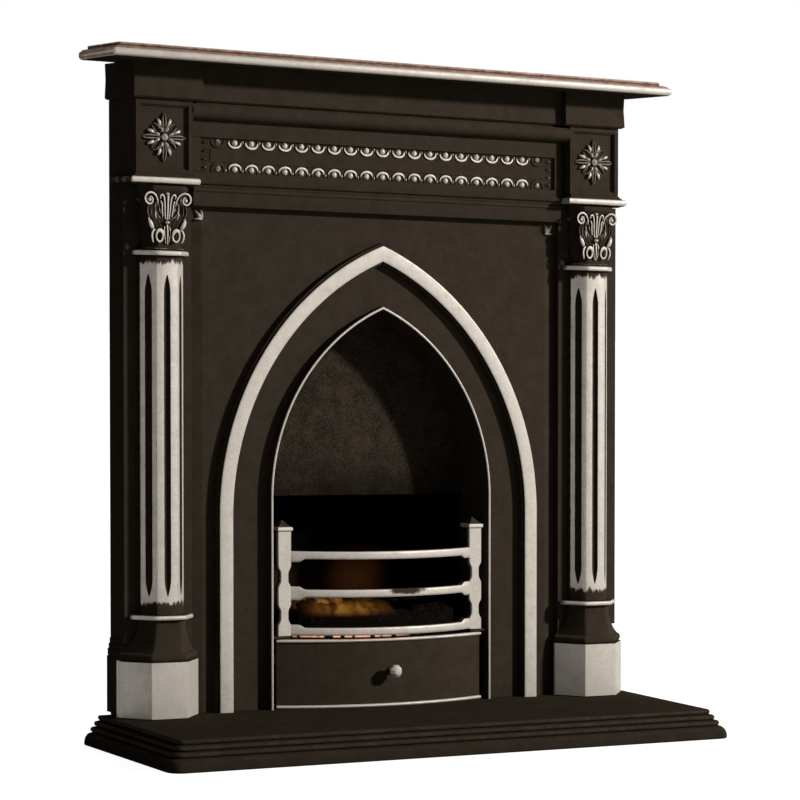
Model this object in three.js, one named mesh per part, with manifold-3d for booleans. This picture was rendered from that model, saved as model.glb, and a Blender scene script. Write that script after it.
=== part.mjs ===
// Cast iron combination fireplace: mantel, pilasters, gothic arched insert, fire bars,
// ash drawer and reeded hearth. Millimetres, +Z up, front faces -Y.
// Inside this file Y = 0 is the face of the wall that the shelf and the hearth meet.
import * as THREE from 'three';
import { mergeVertices } from 'three/addons/utils/BufferGeometryUtils.js';
import Module from 'manifold-3d';

const wasm = await Module();
wasm.setup();

// ---- driving dimensions ----
const gap = 0.3; // running gap between pieces that touch
const castWall = 12; // wall of the large castings
const plateLip = 6; // thickness of the lip along each side plate's inner edge
const wallReturn = 38; // how far the side plates run past the wall face
const trimReturn = 12; // how far the abacus runs past the wall face
const plinthSide = 7; // thickness of the plinth where it lies along the side plate

const hearthHalfWidth = 576;
const hearthDepth = 344;
const hearthHeight = 51;
const hearthCorner = 24; // corner radius in plan
const reedCount = 3;
const reedHeight = 7.4;
const reedGroove = 3;
const reedStep = 5.5; // each reed stands this much further out than the one above
const rollReach = 14; // how far the big lower roll stands out past the last reed

const bodyHalfWidth = 507;
const pilasterWidth = 119;
const pilasterFront = 46;
const columnInset = 56; // column axis in from the side of the body

const plinthHeight = 100;
const plinthInnerReach = 73; // plinth's reach from the column axis towards the middle
const plinthOuterReach = 80.5; // and towards the outside
const plinthCant = 42;
const plinthFront = 92.5;
const baseHeight = 71;
const baseTorusHeight = 13;
const baseSideHeight = 31;
const lowerRingHeight = 9;
const lowerRingHalfWidth = 59.5;
const lowerRingFront = 90;
const ringCant = 30;
const shaftHeight = 625;
const shaftHalfWidth = 42;
const shaftCant = 22;
const shaftFront = 78;
const fluteWidth = 13;
const fluteDepth = 5;
const fluteMargin = 27; // plain shaft above and below each flute
const upperRingHeight = 10;
const upperRingHalfWidth = 53.5;
const upperRingFront = 87;
const capitalHeight = 112;
const capitalHalfWidth = 49;
const capitalFront = 84;
const voluteRadius = 13;
const abacusHeight = 22;
const abacusOverhang = 12;
const blockHeight = 127.5;
const blockWidth = 110;
const blockFront = 72;
const blockFrame = 8.2; // upright sides of the frame round the rosette
const blockFrameBottom = 5.6;
const blockFrameTop = 9.5;
const blockRecess = 6;
const rosetteHalfHeight = 43;
const rosetteHalfWidth = 41;
const rosetteRise = 6;
const rosetteBoss = 6;

const pierLip = 12.5; // how far the pier's front face stands out past its side
const pierLipDepth = 8;

const panelFront = 36.3;
const panelThickness = 15.3;
const insertThickness = 7.3;
const chamferInset = 25; // where the panel's upright chamfer starts, in from its edge
const chamferDepth = 5;
const chamferDrop = 24; // how far below the frieze the chamfer stops
const stopWidth = 17;
const stopHeight = 20;
const stopRise = 8;

const archHalfWidth = 336; // outer edge of the broad band
const archSpring = 400;
const archRadius = 527;
const bandWidth = 27.3;
const bandRise = 16.7;
const filletWidth = 4; // lower fillets on both edges of the band
const filletRise = 11.4;
const beadHalfWidth = 228; // half width of the opening
const beadSpring = 432;
const beadRadius = 372;
const beadWidth = 4.5;
const beadRise = 16.7;
const revealWall = 6;
const revealDepth = 68.4; // depth of the arched tunnel behind the insert plate

const friezeDrop = 54.4; // how far the frieze hangs below the corner blocks
const friezeFront = 54;
const borderRise = 6.1; // foot of the egg and dart border above that of the corner blocks
const borderHeight = 60.5;
const borderMargin = 13.7; // plain frieze beside the border
const borderBar = 15.5; // height of the long bars of the egg and dart border
const borderStile = 13; // width of its short uprights
const borderDepth = 9;
const mouldingReach = 5; // how far the mouldings under the border stand out
const rollHeight = 31;
const rollFront = 74;

const fasciaHeight = 63;
const fasciaFront = 68;
const fasciaBlockFront = 82;
const fasciaOverhang = 8;

const shelfHalfWidth = 582;
const shelfDepth = 144;
const shelfRimHeight = 12;
const shelfSlopeHeight = 6.5;
const shelfStepHeight = 7;
const shelfStepInset = 17;

const smokePlateThickness = 6;
const smokePlateBottom = 430;
const smokePlateMargin = 8; // how far it laps outside the opening
const fireboxTop = 540;
const fireboxFrontHalf = 205;
const fireboxBackHalf = 165;
const fireboxDepth = 150;
const brickWall = 25;
const hoodHeight = 150;
const hoodWall = 6;
const flueHalfWidth = 115;
const flueHalfDepth = 52;
const flueHeight = 90;
const damperClearance = 4;
const damperThickness = 5;
const spindleRadius = 4;
const spindleClearance = 0.1; // running clearance of the spindle in the flue
const spindleReach = 50; // how far its handle end stands out of the flue

const drawerHalfWidth = 216;
const drawerSide = 40; // plan position of the drawer front's two ends
const drawerBow = 37;
const drawerFrontWall = 8;
const drawerFrontHeight = 112;
const drawerBeadHeight = 6.6;
const drawerBeadRise = 4;
const panHalfWidth = 158;
const panBack = 185;
const panHeight = 66;
const panWall = 3;
const knobRadius = 12.5;
const knobNeckRadius = 5;
const knobShankRadius = 3;
const knobReach = 28;
const nutRadius = 7;
const nutHeight = 5;

const barsHalfWidth = 190; // between the posts
const barsSide = 47;
const barsBow = 45;
const barDepth = 10;
const barHeight = 12.5;
const barPitch = 69; // lower edge to lower edge
const lugLength = 18;
const lugRise = 5.5;
const postWidth = 26.5;
const postDepth = 12;
const postHeight = 188;
const postWaist = 5.5;
const capSide = 30;
const capDepth = 32;
const capHeight = 8;
const capPeak = 12;
const barsClearance = 6.5; // above the drawer

const grateThickness = 10;
const grateClearance = 2; // above the drawer
const grateHalfWidth = 186;
const grateBackHalf = 150;
const grateBack = 150;
const grateSlots = 9;
const grateSlotWidth = 14;
const grateInset = 7; // behind the front bars
const fuelHeight = 58;
const fuelInset = 8;

const screwRadius = 4;
const screwHeadRadius = 8;
const screwLength = 45;
const lugSize = 34;
const lugThickness = 8;
const screwLevels = [260, 900];

// ---- levels and places worked out from the driving dimensions ----
const plinthBase = hearthHeight + gap;
const plinthTop = plinthBase + plinthHeight;
const baseBottom = plinthTop + gap;
const baseTop = baseBottom + baseHeight;
const lowerRingBottom = baseTop + gap;
const shaftBottom = lowerRingBottom + lowerRingHeight + gap;
const upperRingBottom = shaftBottom + shaftHeight + gap;
const capitalBottom = upperRingBottom + upperRingHeight + gap;
const abacusBottom = capitalBottom + capitalHeight + gap;
const blockBottom = abacusBottom + abacusHeight + gap;
const blockTop = blockBottom + blockHeight;
const friezeBottom = blockBottom - friezeDrop;
const borderBottom = blockBottom + borderRise;
const borderTop = borderBottom + borderHeight;
const chamferTop = friezeBottom - chamferDrop;
const fasciaBottom = blockTop + gap;
const shelfBottom = fasciaBottom + fasciaHeight + gap;
const pilasterInner = bodyHalfWidth - pilasterWidth;
const columnX = bodyHalfWidth - columnInset;
const blockInner = bodyHalfWidth - blockWidth;
const panelHalf = pilasterInner - gap;
const borderHalfWidth = panelHalf - borderMargin;
const platePlane = -pilasterFront - gap;
const insertPlane = -panelFront;
const revealFront = insertPlane + insertThickness + gap;
const revealBack = revealFront + revealDepth;
const fireboxFront = revealBack + gap + smokePlateThickness + gap;
const fireboxBack = fireboxFront + fireboxDepth;
const drawerBottom = hearthHeight + gap;
const drawerPlateBottom = drawerBottom + drawerBeadHeight + gap;
const drawerPlateTop = drawerPlateBottom + drawerFrontHeight;
const drawerTop = drawerPlateTop + gap + drawerBeadHeight;
const barsBottom = drawerTop + barsClearance;
const grateBottom = drawerTop + grateClearance;
const fuelBottom = grateBottom + grateThickness + gap;
const hoodBottom = fireboxTop + gap;
const flueBottom = hoodBottom + hoodHeight;

// ---- finishes ----
const finishes = {
  blackIron: { color: 0x2b2724, roughness: 0.55, metalness: 0.6 },
  highlight: { color: 0xcfc9c2, roughness: 0.38, metalness: 0.75 },
  mottled: { color: 0x4b4643, roughness: 0.85, metalness: 0.2 },
  firebrick: { color: 0x4a3b34, roughness: 0.95, metalness: 0 },
  ember: { color: 0x30190f, roughness: 0.95, metalness: 0 },
  steel: { color: 0x55524e, roughness: 0.5, metalness: 0.8 },
};

// ---- making and joining solids ----
function toSolid(geometry) {
  const bare = geometry.clone();
  bare.deleteAttribute('normal');
  bare.deleteAttribute('uv');
  const merged = mergeVertices(bare, 1e-4);
  const vertProperties = new Float32Array(merged.attributes.position.array);
  const triVerts = new Uint32Array(merged.index.array);
  return new wasm.Manifold(new wasm.Mesh({ numProp: 3, vertProperties, triVerts }));
}

function toGeometry(solid) {
  const mesh = solid.getMesh();
  const geometry = new THREE.BufferGeometry();
  const positions = new Float32Array(mesh.vertProperties);
  geometry.setAttribute('position', new THREE.BufferAttribute(positions, 3));
  geometry.setIndex(new THREE.BufferAttribute(new Uint32Array(mesh.triVerts), 1));
  geometry.computeVertexNormals();
  return geometry;
}

function box(x0, x1, y0, y1, z0, z1) {
  const geometry = new THREE.BoxGeometry(x1 - x0, y1 - y0, z1 - z0);
  geometry.translate((x0 + x1) / 2, (y0 + y1) / 2, (z0 + z1) / 2);
  return toSolid(geometry);
}

function shapeOf(points, holes = []) {
  const shape = new THREE.Shape(points.map(([x, y]) => new THREE.Vector2(x, y)));
  for (const hole of holes) {
    shape.holes.push(new THREE.Path(hole.map(([x, y]) => new THREE.Vector2(x, y))));
  }
  return shape;
}

// A plan drawn in X and Y, raised from z0 to z1.
function raisePlan(points, z0, z1, holes = []) {
  const options = { depth: z1 - z0, bevelEnabled: false };
  const geometry = new THREE.ExtrudeGeometry(shapeOf(points, holes), options);
  geometry.translate(0, 0, z0);
  return toSolid(geometry);
}

// A front view drawn in X and Z, running back from y0 to y1, its front edge eased by bevel.
function raiseFront(points, y0, y1, holes = [], bevel = 0) {
  const options = { depth: y1 - y0 - bevel, bevelEnabled: bevel > 0, bevelSegments: 1 };
  options.bevelThickness = bevel;
  options.bevelSize = bevel;
  options.bevelOffset = -bevel;
  const geometry = new THREE.ExtrudeGeometry(shapeOf(points, holes), options);
  geometry.rotateX(Math.PI / 2);
  geometry.translate(0, y1, 0);
  if (bevel === 0) return toSolid(geometry);
  const reach = 1e4;
  return toSolid(geometry).subtract(box(-reach, reach, y1, reach, -reach, reach));
}

// A side view drawn in Y and Z, running from x0 to x1.
function raiseSide(points, x0, x1) {
  const geometry = new THREE.ExtrudeGeometry(shapeOf(points), {
    depth: x1 - x0,
    bevelEnabled: false,
  });
  geometry.rotateX(Math.PI / 2);
  geometry.rotateZ(Math.PI / 2);
  geometry.translate(x0, 0, 0);
  return toSolid(geometry);
}

// A solid through plans stacked in Z; every plan has the same number of corners.
function loft(levels) {
  const count = levels[0].plan.length;
  const positions = levels.flatMap(({ plan, z }) => plan.flatMap(([x, y]) => [x, y, z]));
  const indices = [];
  for (let level = 0; level + 1 < levels.length; level += 1) {
    for (let i = 0; i < count; i += 1) {
      const a = level * count + i;
      const b = level * count + ((i + 1) % count);
      indices.push(a, b, b + count, a, b + count, a + count);
    }
  }
  const last = (levels.length - 1) * count;
  const cap = (plan) => THREE.ShapeUtils.triangulateShape(
    plan.map(([x, y]) => new THREE.Vector2(x, y)), []);
  for (const [a, b, c] of cap(levels[0].plan)) indices.push(c, b, a);
  for (const [a, b, c] of cap(levels.at(-1).plan)) indices.push(last + a, last + b, last + c);
  const geometry = new THREE.BufferGeometry();
  geometry.setAttribute('position', new THREE.Float32BufferAttribute(positions, 3));
  geometry.setIndex(indices);
  return toSolid(geometry);
}

// A turned solid about the Y axis, from radius and place along Y.
function turned(profile, sides) {
  const points = profile.map(([r, y]) => new THREE.Vector2(r, y));
  return new THREE.LatheGeometry(points, sides);
}

// A rod along X between x0 and x1.
function rod(radius, x0, x1, y, z, sides = 12) {
  const geometry = new THREE.CylinderGeometry(radius, radius, x1 - x0, sides);
  geometry.rotateZ(Math.PI / 2);
  geometry.translate((x0 + x1) / 2, y, z);
  return toSolid(geometry);
}

// A rod along Y between y0 and y1.
function pin(radius, y0, y1, x, z, sides = 12) {
  const geometry = new THREE.CylinderGeometry(radius, radius, y1 - y0, sides);
  geometry.translate(x, (y0 + y1) / 2, z);
  return toSolid(geometry);
}

// ---- plans ----
function roundedPlan(half, front, back, radius, steps = 5) {
  const points = [[half, back], [-half, back]];
  for (let i = 0; i <= steps; i += 1) {
    const angle = Math.PI + (i / steps) * (Math.PI / 2);
    const x = -half + radius + radius * Math.cos(angle);
    points.push([x, front + radius + radius * Math.sin(angle)]);
  }
  for (let i = 0; i <= steps; i += 1) {
    const angle = 1.5 * Math.PI + (i / steps) * (Math.PI / 2);
    const x = half - radius + radius * Math.cos(angle);
    points.push([x, front + radius + radius * Math.sin(angle)]);
  }
  return points;
}

// Half of an octagon standing on the line y = back, centred on x = 0, canted at the front.
function cantedPlan(half, cant, front, back) {
  return [
    [half, back], [-half, back], [-half, -front + cant], [-half + cant, -front],
    [half - cant, -front], [half, -front + cant],
  ];
}

// A canted plan that also runs back along the side plate: thick there, as far as back.
function wrappedPlan({ inner, outer, cant, front, inset, thick, back }) {
  const side = bodyHalfWidth + gap;
  const near = -front + inset;
  const turn = platePlane + 8;
  const flank = side + thick - inset;
  return [
    [side, platePlane], [inner + inset, platePlane], [inner + inset, near + cant],
    [inner + inset + cant, near], [outer - inset - cant, near], [outer - inset, near + cant],
    [outer - inset, turn], [flank, turn + 0.01], [flank, back], [side, back],
  ];
}

function rectanglePlan(halfX, y0, y1) {
  return [[-halfX, y0], [halfX, y0], [halfX, y1], [-halfX, y1]];
}

// Points of a shallow bow in plan, from -half to +half, its middle nearest the front.
function bowPoints(half, side, bow, offset, steps = 16) {
  const radius = (half * half + bow * bow) / (2 * bow);
  const centre = -side - bow + radius;
  const inner = radius - offset;
  const sweep = Math.asin(half / radius);
  const points = [];
  for (let i = 0; i <= steps; i += 1) {
    const angle = -sweep + (2 * sweep * i) / steps;
    points.push([inner * Math.sin(angle), centre - inner * Math.cos(angle)]);
  }
  return points;
}

// The same bow cut off at another half width.
function bowWithin(half, side, bow, offset, width, steps = 12) {
  const radius = (half * half + bow * bow) / (2 * bow);
  const centre = -side - bow + radius;
  const inner = radius - offset;
  const sweep = Math.asin(width / inner);
  const points = [];
  for (let i = 0; i <= steps; i += 1) {
    const angle = -sweep + (2 * sweep * i) / steps;
    points.push([inner * Math.sin(angle), centre - inner * Math.cos(angle)]);
  }
  return points;
}

function bowStrip(half, side, bow, front, back) {
  const outer = bowPoints(half, side, bow, front);
  const inner = bowPoints(half, side, bow, back).reverse();
  return [...outer, ...inner];
}

// A pointed arch in X and Z, drawn inside its outline by offset.
function archPoints(half, spring, radius, foot, offset = 0, steps = 11) {
  const r = radius - offset;
  const centre = radius - half;
  const start = Math.PI;
  const end = Math.acos(-centre / r);
  const left = [[-half + offset, foot]];
  for (let i = 0; i <= steps; i += 1) {
    const angle = start + ((end - start) * i) / steps;
    left.push([centre + r * Math.cos(angle), spring + r * Math.sin(angle)]);
  }
  const right = left.slice(0, -1).reverse().map(([x, z]) => [-x, z]);
  return [...left, ...right];
}

const outerArch = (offset, foot) =>
  archPoints(archHalfWidth, archSpring, archRadius, foot, offset);
const openingArch = (offset, foot) =>
  archPoints(beadHalfWidth, beadSpring, beadRadius, foot, offset);

// ---- the group and its pieces ----
const fireplace = new THREE.Group();
const origin = new THREE.Group();
fireplace.add(origin);

function place(name, solid, finish, parent = origin) {
  const material = new THREE.MeshStandardMaterial(finishes[finish]);
  const mesh = new THREE.Mesh(toGeometry(solid), material);
  mesh.name = name;
  parent.add(mesh);
  return mesh;
}

// The pieces of the two pilasters are drawn on the right and mirrored to the left.
function placePair(name, solid, finish) {
  place(`right_${name}`, solid, finish);
  place(`left_${name}`, solid.mirror([1, 0, 0]), finish);
}

function makeHearth() {
  const levels = [];
  const add = (inset, z) => levels.push({
    plan: roundedPlan(hearthHalfWidth - inset, -hearthDepth + inset, 0, hearthCorner - inset / 2),
    z,
  });
  const reedTotal = reedCount * (reedHeight + reedGroove);
  const rollTop = hearthHeight - reedTotal;
  add(0.6, 0);
  add(0, rollTop * 0.45);
  add(rollReach * 0.28, rollTop * 0.86);
  add(rollReach, rollTop);
  for (let reed = 0; reed < reedCount; reed += 1) {
    const foot = rollTop + reed * (reedHeight + reedGroove) + reedGroove;
    const inset = rollReach + reed * reedStep;
    add(inset + 2, foot);
    add(inset, foot + reedHeight * 0.35);
    add(inset + 1, foot + reedHeight * 0.8);
    add(inset + reedStep * 0.8, foot + reedHeight);
  }
  place('hearth', loft(levels), 'blackIron');
}

function makeSidePlates() {
  const inner = bodyHalfWidth - castWall;
  const back = -pilasterFront + castWall;
  const lipBack = -panelFront + panelThickness;
  const plan = [
    [pilasterInner, -pilasterFront], [bodyHalfWidth, -pilasterFront],
    [bodyHalfWidth, wallReturn], [inner, wallReturn], [inner, back],
    [pilasterInner + plateLip, back], [pilasterInner + plateLip, lipBack],
    [pilasterInner, lipBack],
  ];
  let plate = raisePlan(plan, plinthBase, blockTop);
  plate = plate.add(box(inner, bodyHalfWidth, gap, wallReturn, 0, plinthBase + 1));
  const lip = box(bodyHalfWidth - 1, bodyHalfWidth + pierLip, -pilasterFront,
    pierLipDepth - pilasterFront, baseBottom + baseSideHeight + gap, abacusBottom - gap);
  plate = plate.add(lip);
  for (const z of screwLevels) {
    const lug = box(inner - lugSize, inner + 1, wallReturn - lugThickness, wallReturn,
      z - lugSize / 2, z + lugSize / 2);
    const hole = pin(screwRadius + gap, 0, wallReturn + 1, inner - lugSize / 2, z);
    plate = plate.add(lug).subtract(hole);
  }
  placePair('side_plate', plate, 'blackIron');
}

function makeWallScrews() {
  const x = bodyHalfWidth - castWall - lugSize / 2;
  const headFront = wallReturn - lugThickness - gap;
  screwLevels.forEach((z, level) => {
    const head = pin(screwHeadRadius, headFront - 5, headFront, x, z, 6);
    const shank = pin(screwRadius, headFront - 1, headFront + screwLength, x, z, 10);
    placePair(`wall_screw_${level + 1}`, head.add(shank), 'steel');
  });
}

function makePlinths() {
  const plan = wrappedPlan({
    inner: columnX - plinthInnerReach,
    outer: columnX + plinthOuterReach,
    cant: plinthCant,
    front: plinthFront,
    inset: 0,
    thick: plinthSide,
    back: wallReturn,
  });
  placePair('plinth', raisePlan(plan, plinthBase, plinthTop), 'highlight');
}

function shiftPlan(plan, dx) {
  return plan.map(([x, y]) => [x + dx, y]);
}

function columnLevel(half, cant, front, z) {
  return { plan: shiftPlan(cantedPlan(half, cant, front, platePlane), columnX), z };
}

// One level of the column base, at share of the way from the shaft out to the plinth.
function baseLevel(share, inset, z) {
  const mix = (near, far) => near + (far - inset - near) * share;
  const neck = shaftHalfWidth + 3;
  const inner = columnX - mix(neck, plinthInnerReach);
  const outer = columnX + mix(neck, plinthOuterReach);
  const cant = shaftCant + (plinthCant - shaftCant) * share;
  const front = -mix(shaftFront + 2, plinthFront);
  const plan = [
    [outer, platePlane], [inner, platePlane], [inner, front + cant],
    [inner + cant, front], [outer - cant, front], [outer, front + cant],
  ];
  return { plan, z };
}

function makeColumnBases() {
  const torusMiddle = baseBottom + baseTorusHeight * 0.45;
  const torusTop = baseBottom + baseTorusHeight;
  const levels = [baseLevel(1, 3, baseBottom), baseLevel(1, 1, torusMiddle)];
  levels.push(baseLevel(1, 3.5, torusTop));
  const flareSteps = 5;
  for (let i = 0; i <= flareSteps; i += 1) {
    const rise = i / flareSteps;
    const z = torusTop + 1 + (baseTop - torusTop - 1) * rise;
    levels.push(baseLevel((1 - rise) ** 2.2, 6, z));
  }
  const side = bodyHalfWidth + gap;
  const flank = (thick) => [
    [side, platePlane - 3], [side + thick, platePlane - 3], [side + thick, wallReturn],
    [side, wallReturn],
  ];
  const sideReturn = loft([
    { plan: flank(plinthSide - 1.5), z: baseBottom },
    { plan: flank(plinthSide - 0.5), z: torusMiddle },
    { plan: flank(plinthSide - 2), z: torusTop },
    { plan: flank(1), z: baseBottom + baseSideHeight },
  ]);
  placePair('column_base', loft(levels).add(sideReturn), 'blackIron');
}

function ringLevels(half, front, bottom, height) {
  const shape = [[3, 0], [0.6, 0.2], [0, 0.5], [0.6, 0.8], [3, 1]];
  return shape.map(([inset, rise]) =>
    columnLevel(half - inset, ringCant, front - inset, bottom + height * rise));
}

function makeRings() {
  const lower = ringLevels(lowerRingHalfWidth, lowerRingFront, lowerRingBottom, lowerRingHeight);
  placePair('lower_ring', loft(lower), 'highlight');
  const upper = ringLevels(upperRingHalfWidth, upperRingFront, upperRingBottom, upperRingHeight);
  placePair('upper_ring', loft(upper), 'highlight');
}

// One flute: a long groove with pointed ends, cut into the face that it is turned to.
function fluteCutter(x, y, turn) {
  const foot = shaftBottom + fluteMargin;
  const head = shaftBottom + shaftHeight - fluteMargin;
  const point = 26;
  const steepness = fluteDepth / (fluteWidth / 2);
  const diamond = (half) => [[-half, 0], [0, -half * 0.9], [half, 0], [0, half * steepness]];
  const tip = 0.05;
  const levels = [
    { plan: diamond(tip), z: foot },
    { plan: diamond(fluteWidth / 2), z: foot + point },
    { plan: diamond(fluteWidth / 2), z: head - point },
    { plan: diamond(tip), z: head },
  ];
  return loft(levels).rotate([0, 0, (turn * 180) / Math.PI]).translate([x, y, 0]);
}

function makeShafts() {
  const top = shaftBottom + shaftHeight;
  let shaft = loft([
    columnLevel(shaftHalfWidth, shaftCant, shaftFront, shaftBottom),
    columnLevel(shaftHalfWidth, shaftCant, shaftFront, top),
  ]);
  const midCant = shaftHalfWidth - shaftCant / 2;
  const cantY = -shaftFront + shaftCant / 2;
  shaft = shaft.subtract(fluteCutter(columnX, -shaftFront, 0));
  shaft = shaft.subtract(fluteCutter(columnX - midCant, cantY, -Math.PI / 4));
  shaft = shaft.subtract(fluteCutter(columnX + midCant, cantY, Math.PI / 4));
  placePair('column_shaft', shaft, 'highlight');
}

function makeCapitals() {
  const top = capitalBottom + capitalHeight;
  const neck = shaftHalfWidth - 4;
  const share = [[0, 0, 0], [0.1, 4, 3], [0.14, 0, 0], [0.55, 2, 1], [0.8, 6, 4], [0.93, 11, 7], [1, 11, 7]];
  const levels = share.map(([rise, widen, reach]) =>
    columnLevel(neck + widen, shaftCant, shaftFront - 6 + reach, capitalBottom + capitalHeight * rise));
  let capital = loft(levels);
  const voluteZ = top - voluteRadius - 9;
  for (const side of [-1, 1]) {
    const x = columnX + side * (capitalHalfWidth - voluteRadius);
    capital = capital.add(pin(voluteRadius, -capitalFront, -shaftFront + 12, x, voluteZ, 14));
    const leafX = columnX + side * 12;
    const leaf = pin(9, -capitalFront + 1, -shaftFront + 12, leafX, capitalBottom + 26, 10);
    capital = capital.add(leaf);
  }
  placePair('capital', capital, 'blackIron');
}

function makeAbaci() {
  const inner = blockInner - abacusOverhang + 3;
  const outer = bodyHalfWidth + abacusOverhang;
  const front = blockFront + abacusOverhang;
  const shape = [[8, 0], [1, 0.2], [0, 0.4], [3, 0.65], [8, 1]];
  const levels = shape.map(([inset, rise]) => ({
    plan: wrappedPlan({
      inner, outer, cant: 1, front, inset, thick: abacusOverhang - gap, back: trimReturn,
    }),
    z: abacusBottom + abacusHeight * rise,
  }));
  placePair('abacus', loft(levels), 'highlight');
}

function makeCornerBlocks() {
  const field = -blockFront + blockRecess;
  const solid = box(blockInner, bodyHalfWidth, -blockFront, platePlane, blockBottom, blockTop);
  const low = blockBottom + blockFrameBottom;
  const high = blockTop - blockFrameTop;
  const plan = (inset) => [
    [blockInner + blockFrame + inset, low + inset], [bodyHalfWidth - blockFrame - inset, low + inset],
    [bodyHalfWidth - blockFrame - inset, high - inset], [blockInner + blockFrame + inset, high - inset],
  ];
  const wide = raiseFront(plan(0), -blockFront - 1, -blockFront + blockRecess / 2);
  const deep = raiseFront(plan(2.5), -blockFront - 1, field);
  placePair('corner_block', solid.subtract(wide).subtract(deep), 'blackIron');
}

// Four long petals and twelve short ones around a pointed boss, in the outline of a lozenge.
function makeRosettes() {
  const x = (blockInner + bodyHalfWidth) / 2;
  const z = (blockBottom + blockFrameBottom + blockTop - blockFrameTop) / 2;
  const petals = 16;
  const outline = [];
  for (let i = 0; i < petals * 2; i += 1) {
    const angle = (i * Math.PI) / petals;
    const across = Math.abs(Math.cos(angle)) / rosetteHalfWidth;
    const up = Math.abs(Math.sin(angle)) / rosetteHalfHeight;
    const lozenge = 1 / (across ** 1.25 + up ** 1.25) ** 0.8;
    const reach = i % 2 === 0 ? lozenge : lozenge * 0.72;
    outline.push([x + reach * Math.cos(angle), z + reach * Math.sin(angle)]);
  }
  const field = -blockFront + blockRecess - gap;
  const star = raiseFront(outline, field - rosetteRise, field, [], 1.2);
  const cone = new THREE.ConeGeometry(11, rosetteBoss + 1, 4);
  cone.rotateX(Math.PI);
  cone.translate(x, field - rosetteRise - rosetteBoss / 2 + 0.5, z);
  placePair('rosette', star.add(toSolid(cone)), 'highlight');
}

function makeFrontPanel() {
  const back = -panelFront + panelThickness;
  const start = panelHalf - chamferInset;
  const half = [
    [start, -panelFront], [panelHalf, -panelFront + chamferDepth], [panelHalf, back],
  ];
  const mirrored = half.slice().reverse().map(([x, y]) => [-x, y]);
  const chamfered = raisePlan([...half, ...mirrored], plinthBase, chamferTop);
  const upper = box(-panelHalf, panelHalf, -panelFront, back, chamferTop - 0.01, blockTop);
  const hole = raiseFront(outerArch(bandWidth / 2, hearthHeight - 5), -panelFront - 5, back + 5);
  place('front_panel', chamfered.add(upper).subtract(hole), 'blackIron');
}

function archRing(outer, inner, y0, y1, bevel) {
  const ring = [...outer, ...inner.slice().reverse()];
  return raiseFront(ring, y0, y1, [], bevel);
}

function makeArch() {
  const foot = plinthBase;
  const face = insertPlane - gap;
  const plateOuter = outerArch(bandWidth / 2 + gap, foot);
  const opening = openingArch(0, foot);
  const plate = archRing(plateOuter, opening, insertPlane, insertPlane + insertThickness, 0);
  place('arch_plate', plate, 'blackIron');
  const bandOuter = outerArch(0, foot);
  const bandInner = outerArch(bandWidth, foot);
  const band = archRing(bandOuter, bandInner, face - bandRise, face, 1.2);
  const filletOuter = outerArch(-filletWidth, foot);
  const filletInner = outerArch(bandWidth + filletWidth, foot);
  const fillet = archRing(filletOuter, filletInner, face - filletRise, face, 1);
  place('arch_band', band.add(fillet), 'highlight');
  const bead = archRing(openingArch(-beadWidth, foot), opening, face - beadRise, face, 1.5);
  place('arch_bead', bead, 'highlight');
  const inside = openingArch(0, foot);
  const outside = openingArch(-revealWall, foot);
  let reveal = archRing(outside, inside, revealFront, revealBack, 0);
  place('arch_reveal', addRests(reveal), 'blackIron');
}

// Rests inside the tunnel: two for the posts of the bars and two for the grate.
function addRests(reveal) {
  const wall = beadHalfWidth;
  const top = barsBottom - gap;
  const rest = box(barsHalfWidth + 2, wall - gap, -barsSide, revealFront + 14, top - 5, top)
    .add(box(barsHalfWidth + 2, wall + 1, revealFront, revealFront + 14, top - 5, top));
  const grateTop = grateBottom - gap;
  const grateRest = box(grateHalfWidth - 12, wall + 1, revealFront + 22, revealFront + 48,
    grateTop - 6, grateTop);
  const both = rest.add(grateRest);
  return reveal.add(both).add(both.mirror([1, 0, 0]));
}

function makeCornerStops() {
  const x = panelHalf - chamferInset - 0.5;
  const face = insertPlane - gap;
  const base = [[x, chamferTop], [x + stopWidth, chamferTop], [x, chamferTop + stopHeight]];
  const geometry = new THREE.BufferGeometry();
  const peak = [x + stopWidth * 0.3, face - stopRise, chamferTop + stopHeight * 0.3];
  const corners = [...base.map(([px, pz]) => [px, face, pz]), peak];
  geometry.setAttribute('position', new THREE.Float32BufferAttribute(corners.flat(), 3));
  geometry.setIndex([0, 2, 1, 0, 1, 3, 1, 2, 3, 2, 0, 3]);
  placePair('corner_stop', toSolid(geometry), 'highlight');
}

function makeFrieze() {
  const back = -panelFront - gap;
  const front = -friezeFront;
  const rollBottom = blockTop - rollHeight;
  const mould = (reach, rise) => [front - reach, friezeBottom + rise];
  const profile = [
    [back, friezeBottom], [front, friezeBottom], mould(0, 25), mould(mouldingReach * 0.6, 27),
    mould(mouldingReach * 0.6, 32), mould(mouldingReach * 0.1, 35), mould(mouldingReach * 0.1, 38),
    mould(mouldingReach, 40), mould(mouldingReach, 43.5), mould(mouldingReach * 0.4, 46),
    mould(0, 49), [front, blockTop], [back, blockTop],
  ];
  let panel = raiseSide(profile, -panelHalf, panelHalf);
  const recess = box(-borderHalfWidth - gap, borderHalfWidth + gap, front - 1, front + borderDepth,
    borderBottom - gap, borderTop + gap);
  panel = panel.subtract(recess);
  place('frieze_panel', panel, 'blackIron');
  makeBorder(front);
  makeRoll(rollBottom, front);
}

function makeBorder(front) {
  const outer = [[-borderHalfWidth, borderBottom], [borderHalfWidth, borderBottom],
    [borderHalfWidth, borderTop], [-borderHalfWidth, borderTop]];
  const x = borderHalfWidth - borderStile;
  const inner = [[-x, borderBottom + borderBar], [x, borderBottom + borderBar],
    [x, borderTop - borderBar], [-x, borderTop - borderBar]];
  const border = raiseFront(outer, front + 1, front + borderDepth - gap, [inner], 2);
  place('egg_dart_border', border, 'highlight');
}

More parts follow.
